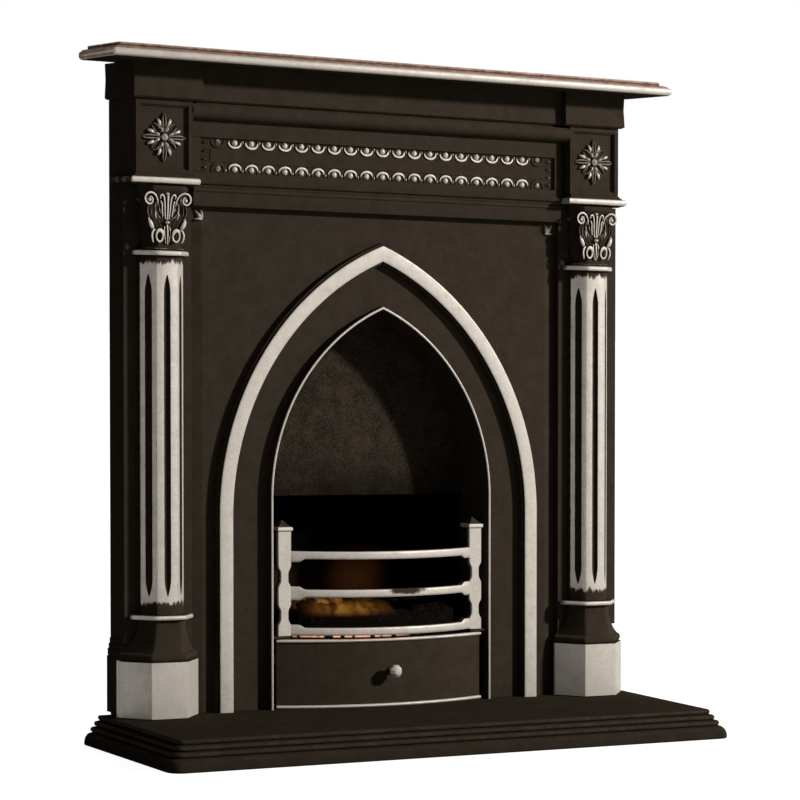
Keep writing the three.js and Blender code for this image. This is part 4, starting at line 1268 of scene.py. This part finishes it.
# A petal along a path of (u, v, w, half width), with a section of (share, rise, polish).
def petal(path, section, foot=-2.0):
    rings = []
    for i, (u, v, w, half) in enumerate(path):
        before = path[max(0, i - 1)]
        after = path[min(len(path) - 1, i + 1)]
        along = Vector((after[0] - before[0], after[1] - before[1])).normalized()
        rings.append([
            (u + along.y * share * half, -(foot + (w - foot) * rise), v - along.x * share * half)
            for share, rise, _ in section
        ])
    return turnOutwards(skin(rings, [[polish for _, _, polish in section]] * len(rings)))


def leaf(path, section, foot=-2.0):
    return petal(eased(path, 3), section, foot)


# A rib of round section through (u, v, w, radius) points, polished on its crest.
def rib(points, crest=1.0, steps=4, swell=1.0):
    path = eased(points, steps)
    places = [Vector((u, -w, v)) for u, v, w, _ in path]
    rings = []
    polish = []
    for i, (place, (_, _, _, radius)) in enumerate(zip(places, path)):
        along = (places[min(len(places) - 1, i + 1)] - places[max(0, i - 1)]).normalized()
        across = along.cross(Vector((0, -1, 0)))
        if across.length < 1e-4:
            across = Vector((1, 0, 0))
        across.normalize()
        out = across.cross(along).normalized()
        if out.y > 0:
            out = -out
            across = -across
        ring = []
        row = []
        for s in range(10):
            angle = 2 * math.pi * s / 10
            shift = across * math.cos(angle) + out * math.sin(angle) * 0.9
            ring.append(tuple(place + shift * (radius * swell)))
            row.append(crest * smooth(0.35, 0.95, math.sin(angle)))
        rings.append(ring)
        polish.append(row)
    return turnOutwards(skin(rings, polish))


# Half of an egg lying on the face.
def dome(u, v, w, wide, tall, rise, polish=1.0, rows=5, columns=14):
    rings = []
    for tilt in arc(rows, 0, 90):
        reach = max(0.03, math.cos(tilt))
        ring = []
        for k in range(columns):
            turn = 2 * math.pi * k / columns
            a = wide * reach * math.cos(turn)
            b = tall * reach * math.sin(turn)
            ring.append((u + a, -(w + rise * math.sin(tilt)), v + b))
        rings.append(ring)
    values = [[polish if r > 1 else 0.0] * columns for r in range(rows + 1)]
    return turnOutwards(skin(rings, values))


# A section given from its edge to its middle, with the other half mirrored.
def bothHalves(*half):
    return [(-share, rise, polish) for share, rise, polish in half] + list(half[-2::-1])


leafSection = bothHalves(
    (1.0, 0.0, 0.0), (0.86, 0.8, 0.8), (0.66, 1.0, 1.0), (0.38, 0.62, 0.1), (0.12, 0.7, 0.25),
    (0.0, 0.92, 0.85),
)
dullSection = bothHalves(
    (1.0, 0.0, 0.0), (0.8, 0.78, 0.62), (0.5, 0.9, 0.5), (0.16, 0.62, 0.1), (0.0, 0.8, 0.5)
)
petalSection = bothHalves(
    (1.0, 0.0, 0.0), (0.85, 0.66, 0.35), (0.5, 1.0, 0.92), (0.14, 0.66, 0.1), (0.0, 0.5, 0.0)
)
plumpSection = bothHalves((1.0, 0.0, 0.0), (0.8, 0.62, 0.25), (0.4, 0.95, 0.92), (0.0, 1.0, 1.0))
rimSection = bothHalves(
    (1.0, 0.0, 0.0), (0.9, 0.85, 0.6), (0.74, 1.0, 1.0), (0.56, 0.5, 0.0), (0.0, 0.4, 0.1)
)
stopSection = bothHalves((1.0, 0.0, 0.5), (0.7, 0.8, 1.0), (0.0, 1.0, 1.0))

rosetteLook = {"reach": 43.5, "sideAngle": 21.0, "leafAngle": 46.0, "boss": 7.4, "height": 11.6}


# Four petals, each with two blobs a side, four rimmed leaves between them, and a boss.
def makeRosettes():
    look = rosetteLook
    box = span("right_rosette")
    reach = min(look["reach"], box.rise - 0.1)
    long = [(7, 5.5, 2.2), (13, 6.6, 3.2), (20, 7.4, 4.6), (27, 7.2, 5.6), (33, 6.2, 5.2),
            (38, 4.6, 3.6), (reach - 1.6, 3.0, 1.7), (reach, 2.0, 0.3)]
    inner = [(9.5, 4.5, 1.8), (12, 7.4, 3.0), (15, 8.4, 3.5), (18, 6.4, 2.9), (19.6, 3.6, 0.9)]
    outer = [(19.8, 3.2, 1.6), (22.5, 6.4, 3.6), (27, 7.8, 4.6), (31.5, 6.4, 3.9), (34.4, 2.8, 1.1)]
    between = [(9, 3.0, 1.7), (13, 4.2, 4.0), (19, 5.2, 6.2), (24.5, 5.2, 6.6), (28.5, 4.2, 5.0),
               (31.5, 2.8, 1.8)]
    side = look["sideAngle"]
    parts = [
        (0, long, petalSection), (-side, inner, plumpSection), (-side, outer, plumpSection),
        (side, inner, plumpSection), (side, outer, plumpSection),
        (look["leafAngle"], between, rimSection),
    ]
    flower = Shape()
    for quarter in range(4):
        for angle, path, section in parts:
            turn = math.radians(90 * quarter + angle)
            placed = [(r * math.cos(turn), r * math.sin(turn), w, half) for r, w, half in path]
            flower.join(petal(placed, section))
    boss = look["boss"]
    turns = [math.pi / 3 * k + 0.3 for k in range(6)]
    rings = []
    for r, w in ((boss - 0.6, -1.0), (boss, 5.4), (boss * 0.78, 7.0), (0.3, look["height"])):
        rings.append([(r * math.cos(turn), -w, r * math.sin(turn)) for turn in turns])
    polish = [[value] * 6 for value in (0.0, 0.1, 0.85, 1.0)]
    flower.join(turnOutwards(skin(rings, polish)), boxShape(-6, 6, -2, 0.0, -6, 6))
    shape = onFace(flower, (box.left + box.right) / 2, box.back, box.middle)
    shape = shape.changed(lambda x, y, z: (x, min(y, box.back), z))
    makePair("rosetteFlower", shape, ornamentIron, "rosette", angle=34)


borderLook = {
    "eggs": 21, "panel": (1026.5, 1051.0), "end": 354.0, "row": 17.5, "rise": 5.4,
    "cupPolish": 0.74, "endDimming": 0.55, "scallops": 4, "scallop": 14.0, "scallopPolish": 0.5,
}


# One unit of the band: an egg in an open cup with a dart beside it, its open side up.
def eggUnit(pitch, row):
    half = pitch / 2
    thin = pitch / 33.7
    path = []
    for angle in arc(14, 0, 180):
        height = row * (0.96 - 0.8 * math.sin(angle) ** 0.6)
        radius = (2.2 + 1.5 * math.sin(angle)) * thin
        path.append((-0.74 * half * math.cos(angle), height, 1.7, radius))
    cup = rib(path, borderLook["cupPolish"], 1)
    for i, (_, _, z) in enumerate(cup.points):  # duller towards the open ends
        cup.polish[i] *= 1 - 0.55 * smooth(0.45, 0.95, z / row)
    return cup.join(
        dome(0, row * 0.64, -0.8, half * 0.38, row * 0.4, 7.0, 1.0, 5, 12),
        dome(half, row * 0.76, -0.8, half * 0.12, row * 0.24, 3.6, 0.8, 3, 8),
        dome(half, row * 0.3, -0.8, half * 0.14, row * 0.14, 3.0, 0.4, 3, 8),
    )


# Two rows of eggs back to back, with a raised strip between them and scallops up both ends.
def makeBorder():
    look = borderLook
    box = span("egg_dart_border")
    field = box.front + look["rise"] + 1.2
    end = look["end"]
    row = look["row"]
    shape = boxShape(box.left, box.right, field, box.back, box.low, box.top, 0.0, 0.0)
    shape.join(boxShape(2 - end, end - 2, field - 3.4, field + 0.3, *look["panel"], 0.0, 0.9))
    pitch = 2 * end / look["eggs"]
    plain = eggUnit(pitch, row)
    worn = plain.dimmed(look["endDimming"])
    for i in range(look["eggs"]):
        x = (i + 0.5) * pitch - end
        unit = plain if 0 < i < look["eggs"] - 1 else worn
        flipped = unit.changed(lambda a, b, c: (-a, b, -c))
        shape.join(onFace(unit, x, field, box.top - 0.6 - row))
        shape.join(onFace(flipped, x, field, box.low + 0.6 + row))
    rise = (box.top - box.low - 1.6) / look["scallops"]
    turned = eggUnit(rise, look["scallop"]).changed(lambda a, b, c: (c, b, -a))
    scallop = turned.dimmed(look["scallopPolish"])
    for i in range(look["scallops"]):
        placed = onFace(scallop, end + 0.5, field, box.low + 0.8 + (i + 0.5) * rise)
        shape.join(placed, placed.mirrored())
    shape = shape.changed(lambda x, y, z: (x, min(y, box.back), clamp(box.low, z, box.top)))
    makePiece("eggDartBorder", shape, borderIron, "egg_dart_border", angle=38)


stopLook = {
    "half": 3.0, "rise": 6.6,
    "leaves": (  # start and tip of each leaf, as shares of the stop's width and height
        ((0.17, 0.02), (0.09, 0.97)), ((0.12, 0.1), (0.9, 0.88)), ((0.02, 0.15), (0.97, 0.08)),
    ),
    "path": ((0.0, 0.5, 0.9), (0.35, 1.0, 1.0), (0.7, 0.75, 0.62), (1.0, 0.2, 0.1)),
}


# The panel's corner stops: three short leaves from one corner.
def makeCornerStops():
    look = stopLook
    box = span("right_corner_stop")
    wide = box.right - box.left
    tall = box.top - box.low
    leaves = Shape()
    for (u0, v0), (u1, v1) in look["leaves"]:
        path = []
        for share, w, width in look["path"]:
            u = (u0 + (u1 - u0) * share) * wide
            v = (v0 + (v1 - v0) * share) * tall
            path.append((u, v, w * look["rise"], width * look["half"]))
        leaves.join(leaf(path, stopSection, 0.0))
    shape = onFace(leaves, box.left, box.back, box.low).changed(
        lambda x, y, z: (clamp(box.left, x, box.right), y, clamp(box.low, z, box.top))
    )
    makePair("cornerStop", shape, ornamentIron, "corner_stop", angle=34)


capitalLook = {
    "axis": 451.0, "face": -76.0, "half": 36.0, "cant": 20.0, "limit": 49.0,
    "foot": [(40.5, -79.5, 0, 0.0), (41.5, -80.5, 1.2, 0.3), (41.5, -80.5, 3.0, 0.56),
             (39.0, -78.0, 4.0, 0.0), (38.4, -77.4, 6.4, 0.1), (36.0, -75.5, 7.4, 0.0)],
    "head": [(46.5, -79.5, 11), (48.0, -82.0, 8.6), (48.6, -83.2, 6.5), (48.6, -83.2, 0.6),
             (47.6, -82.2, 0)],  # half width, front, and how far below the top
}


# The plain bell under the carving, with a ring at its foot.
def bellShape(box):
    look = capitalLook
    rows = [(half, front, box.low + rise, polish) for half, front, rise, polish in look["foot"]]
    for i in range(9):
        share = i / 8
        z = box.low + 8 + (box.top - box.low - 22) * share
        rows.append((36.0 + 8.5 * share**3.2, -75.5 - 1.5 * share**3, z, 0.0))
    rows += [(half, front, box.top - drop, 0.0) for half, front, drop in look["head"]]
    levels = []
    for half, front, z, polish in rows:
        plan = cantedPlan(look["axis"] - half, look["axis"] + half, look["cant"], front,
                          box.back, 2.5)
        levels.append((plan, z, polish))
    return stack(levels)


# The right half of the front's carving. A rib's values are its crest, steps and swell.
def halfCarving():
    volute = [
        (17.0, 944, 1.0, 1.0), (18.2, 953, 2.5, 1.6), (22.6, 962, 4.0, 2.0), (30.6, 967, 5.2, 2.1),
        (38.8, 965.6, 5.8, 2.2), (43.6, 959.3, 5.8, 2.1), (42.6, 951.8, 5.6, 2.0),
        (36.6, 947.2, 5.4, 1.9), (30.6, 949.4, 5.4, 1.7), (29.2, 955.2, 5.6, 1.5),
        (32.0, 959.6, 5.8, 1.3), (35.4, 959.4, 6.0, 1.0),
    ]
    upper = [(3.4, 922, 2.0, 1.2), (4.9, 936, 3.4, 1.5), (5.8, 950, 4.4, 1.7), (7.6, 960, 5.4, 1.8),
             (11.2, 964, 6.2, 1.9), (14.6, 961.2, 6.2, 1.7), (14.2, 956.8, 5.2, 1.2)]
    second = [(8.5, 926, 2.0, 1.4), (10.6, 938, 3.4, 1.7), (11.0, 947, 4.2, 1.8),
              (13.6, 953.0, 4.6, 1.4)]
    frond = [(7.0, 921, 1.2, 1.4), (13.5, 928, 3.2, 4.4), (18.2, 937, 4.4, 5.6),
             (18.8, 946, 3.8, 4.6), (16.8, 954, 2.0, 1.2)]
    under = [(8.5, 898, 0.6, 2.0), (15.5, 909, 1.7, 5.6), (21.5, 924, 2.2, 7.4),
             (25.0, 939, 1.9, 6.0), (24.0, 951, 0.9, 2.2)]
    tip = [(19.5, 921, 1.0, 0.8), (22.0, 927, 3.4, 2.2), (22.6, 932, 3.2, 1.6),
           (21.6, 936, 1.6, 0.6)]
    outer = [(29.5, 922, 1.5, 1.2), (33.2, 928, 4.2, 3.4), (34.4, 936, 5.0, 4.0),
             (33.4, 943, 4.2, 2.8), (32.4, 948, 2.2, 0.8)]
    lower = [(24.5, 902, 1.5, 1.6), (28.5, 907, 5.2, 5.4), (31.8, 913, 6.4, 6.0),
             (34.0, 919, 5.4, 4.2), (35.4, 924, 2.4, 0.8)]
    pod = [(9.4, 890.5, 3.6, 2.6), (10.4, 897.5, 4.8, 3.8), (15.4, 902.4, 5.4, 4.4),
           (20.6, 899.6, 5.0, 3.4), (22.4, 892.4, 4.6, 2.2), (20.6, 885.6, 4.4, 2.2),
           (15.8, 882.4, 4.2, 2.4), (11.4, 885, 4.0, 2.4), (9.4, 890.5, 3.6, 2.6)]
    hook = [(23.4, 903, 3.2, 1.2), (27.6, 901.6, 4.6, 2.0), (30.4, 895, 4.8, 2.2),
            (29.8, 887, 4.4, 2.1), (27.4, 881, 3.0, 1.4)]
    stalk = [(4.2, 909, 1.2, 1.0), (6.0, 902, 2.8, 1.4), (5.0, 893, 2.8, 1.3),
             (3.4, 884, 2.2, 1.1), (2.8, 879, 1.4, 0.7)]
    return Shape().join(
        rib(volute, 1.0, 4, 1.14), dome(34.8, 954.8, 1.0, 4.6, 4.8, 7.2, 0.95),
        rib(upper, 0.9, 4, 1.2), rib(second, 0.7, 4, 1.25), leaf(frond, dullSection),
        leaf(under, dullSection).dimmed(0.8), leaf(tip, plumpSection), leaf(outer, rimSection),
        leaf(lower, plumpSection), rib(pod, 1.0, 3), rib(hook, 1.0, 4, 1.15), rib(stalk, 0.8),
    )


def middleCarving():
    stem = [(0, 921, 2.0, 1.5), (0, 935, 4.0, 1.9), (0, 952, 5.0, 2.2), (0, 963, 6.0, 2.6)]
    foot = [(0, 912, 2.0, 1.5), (0, 900, 3.4, 1.9), (0, 889, 3.2, 1.6), (0, 878, 1.8, 0.9)]
    return Shape().join(
        rib(stem, 0.95, 3, 1.15), dome(0, 965.5, 1.0, 4.6, 3.4, 6.6),
        dome(0, 916.0, 1.0, 5.2, 3.2, 6.6), rib(foot, 0.95, 3, 1.15),
    )


# The carving of a canted side: a plain leaf with the end of the volute above it. Its polish is
# dimmed: painted shade on sides turned from the light.
def sideCarving():
    plain = [(0, 906, 1.2, 1.6), (0.8, 915, 4.4, 5.0), (0.2, 926, 5.2, 5.6),
             (-0.6, 937, 4.8, 4.4), (0.4, 946, 3.0, 1.4)]
    curl = [(-6, 948, 2, 1.4), (-1, 954, 3.6, 2.2), (5, 957, 4.6, 2.2)]
    bud = [(-3, 884, 1.5, 2.4), (-1, 892, 3.8, 4.2), (1, 899, 3.0, 3.2), (2, 904, 1.2, 1.0)]
    return Shape().join(
        leaf(plain, leafSection).dimmed(0.45), rib(curl, 0.6),
        leaf(bud, plumpSection).dimmed(0.4),
    )


def makeCapitals():
    look = capitalLook
    box = span("right_capital")
    axis = look["axis"]
    face = look["face"]
    cant = look["cant"]
    shape = bellShape(box)
    half = halfCarving()
    for carving in (half, half.mirrored(), middleCarving()):
        shape.join(onFace(carving, axis, face))
    side = sideCarving()
    reach = look["half"] - cant / 2 + 0.4
    flankY = (face + cant + box.back) / 2 + 1
    for turn, flank in ((-1, side.mirrored()), (1, side)):
        corner = (axis + turn * reach, face + cant / 2 + 0.4)
        shape.join(
            onFace(flank, *corner, turn=turn * math.pi / 4),
            onFace(flank, axis + turn * (look["half"] + 0.2), flankY, turn=turn * math.pi / 2),
        )
    west = axis - look["limit"]
    east = axis + look["limit"]
    shape = shape.changed(
        lambda x, y, z: (clamp(west, x, east), clamp(box.front, y, box.back), z)
    )
    makePair("capitalCarving", shape, ornamentIron, "capital", angle=40)


makeRosettes()
makeBorder()
makeCornerStops()
makeCapitals()
print("stage: ornament made")


# The finish of the pieces that keep the model's own solids.
solidFinish = (
    (blackIron, ("left_side_plate", "right_side_plate", "front_panel", "left_corner_block",
                 "right_corner_block", "bed_fascia", "smoke_hood", "damper_plate")),
    (grateIron, ("bottom_grate",)),
    (smokeIron, ("smoke_plate",)),
    (firebrick, ("left_fire_cheek", "right_fire_cheek", "fireback", "back_hearth")),
    (dullSteel, ("ash_pan", "knob_nut", "damper_spindle", "left_wall_screw_1",
                 "right_wall_screw_1", "left_wall_screw_2", "right_wall_screw_2")),
)
for finish, nodeNames in solidFinish:
    for nodeName in nodeNames:
        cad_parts[nodeName].material_slots[0].material = finish
print("stage: finishes set")


stageLook = {
    "floor": (0.28, 0.275, 0.27, 1.0),
    "floorReach": 60.0,
    "floorLift": 0.91,  # how pale the floor looks near the piece
    "white": (1.0, 1.0, 1.0, 1.0),
    "ambient": 0.05,
    "lampTint": (1.0, 0.97, 0.94),
    "lampAim": 0.62,
    "lamps": {  # place, size and power in watts
        "keyLight": ((4.95, -4.12, 3.1), 0.5, 415.0),
        "fillLight": ((-1.2, -6.0, 2.6), 3.0, 3.5),
        "backLight": ((2.4, 5.6, 3.0), 3.0, 110.0),
    },
}


def makeFloor():
    look = stageLook
    mesh = bpy.data.meshes.new("floor")
    reach = look["floorReach"]
    corners = [(x, y, 0) for x, y in boxPlan(-reach, reach, -reach, reach, 0)]
    mesh.from_pydata(corners, [], [(0, 1, 2, 3)])
    floor = addObject("floor", mesh)
    material, graph, shader = startMaterial("paleFloor")
    away = graph.node("VectorMath", operation="LENGTH")
    graph.feed(away, {0: graph.place()})
    lift = graph.ramp(away.outputs["Value"], 1.0, 5.0, look["floorLift"], 1.0)
    graph.feed(shader, {
        "Base Color": look["floor"], "Roughness": 0.8, "Emission Color": look["white"],
        "Emission Strength": graph.multiply(graph.seenRays(), lift),
    })
    mesh.materials.append(material)


def makeWorld():
    world = bpy.data.worlds.new("studio")
    bpy.context.scene.world = world
    world.use_nodes = True
    graph = Wiring(world.node_tree)
    graph.feed(world.node_tree.nodes["Background"], {
        "Color": stageLook["white"],
        "Strength": graph.mixValue(graph.seenRays(), stageLook["ambient"], 1.0),
    })


def makeLamps():
    for name, (place, size, power) in stageLook["lamps"].items():
        light = bpy.data.lights.new(name, "AREA")
        light.shape = "DISK"
        light.size = size
        light.energy = power
        light.color = stageLook["lampTint"]
        lamp = addObject(name, light)
        lamp.location = place
        aim = Vector((0, wallY / 1000, stageLook["lampAim"])) - Vector(place)
        lamp.rotation_euler = aim.to_track_quat("-Z", "Y").to_euler()


# The photograph's camera: left of the piece, tipped down a little, its frame leant a little.
cameraLook = {
    "place": (-2.7121, -4.6645, 0.7805), "yaw": 30.7813, "tip": -1.8205, "lens": 131.87,
    "lean": 0.02704,
}


def makeCamera():
    camera = addObject("camera", bpy.data.cameras.new("camera"))
    camera.data.lens = cameraLook["lens"]
    camera.data.sensor_width = 36.0
    camera.data.clip_end = 200.0
    yaw = math.radians(cameraLook["yaw"])
    tip = math.radians(cameraLook["tip"])
    level = math.cos(tip)
    forward = Vector((math.sin(yaw) * level, math.cos(yaw) * level, math.sin(tip)))
    right = Vector((math.cos(yaw), -math.sin(yaw), 0))
    up = right.cross(forward)
    x, y, z = cameraLook["place"]
    leaning = right + up * cameraLook["lean"]
    matrix = Matrix.Identity(4)
    for column, vector in enumerate((leaning, up, -forward, Vector((x, y + wallY / 1000, z)))):
        for row in range(3):
            matrix[row][column] = vector[row]
    # A parent's matrix can hold the lean, which a camera's own rotation can't.
    holder = addObject("cameraHolder")
    camera.parent = holder
    camera.matrix_parent_inverse = matrix
    bpy.context.scene.camera = camera


makeFloor()
makeWorld()
makeLamps()
makeCamera()
bpy.context.scene.view_settings.view_transform = "Standard"
print("stage: floor, lamps and camera made")
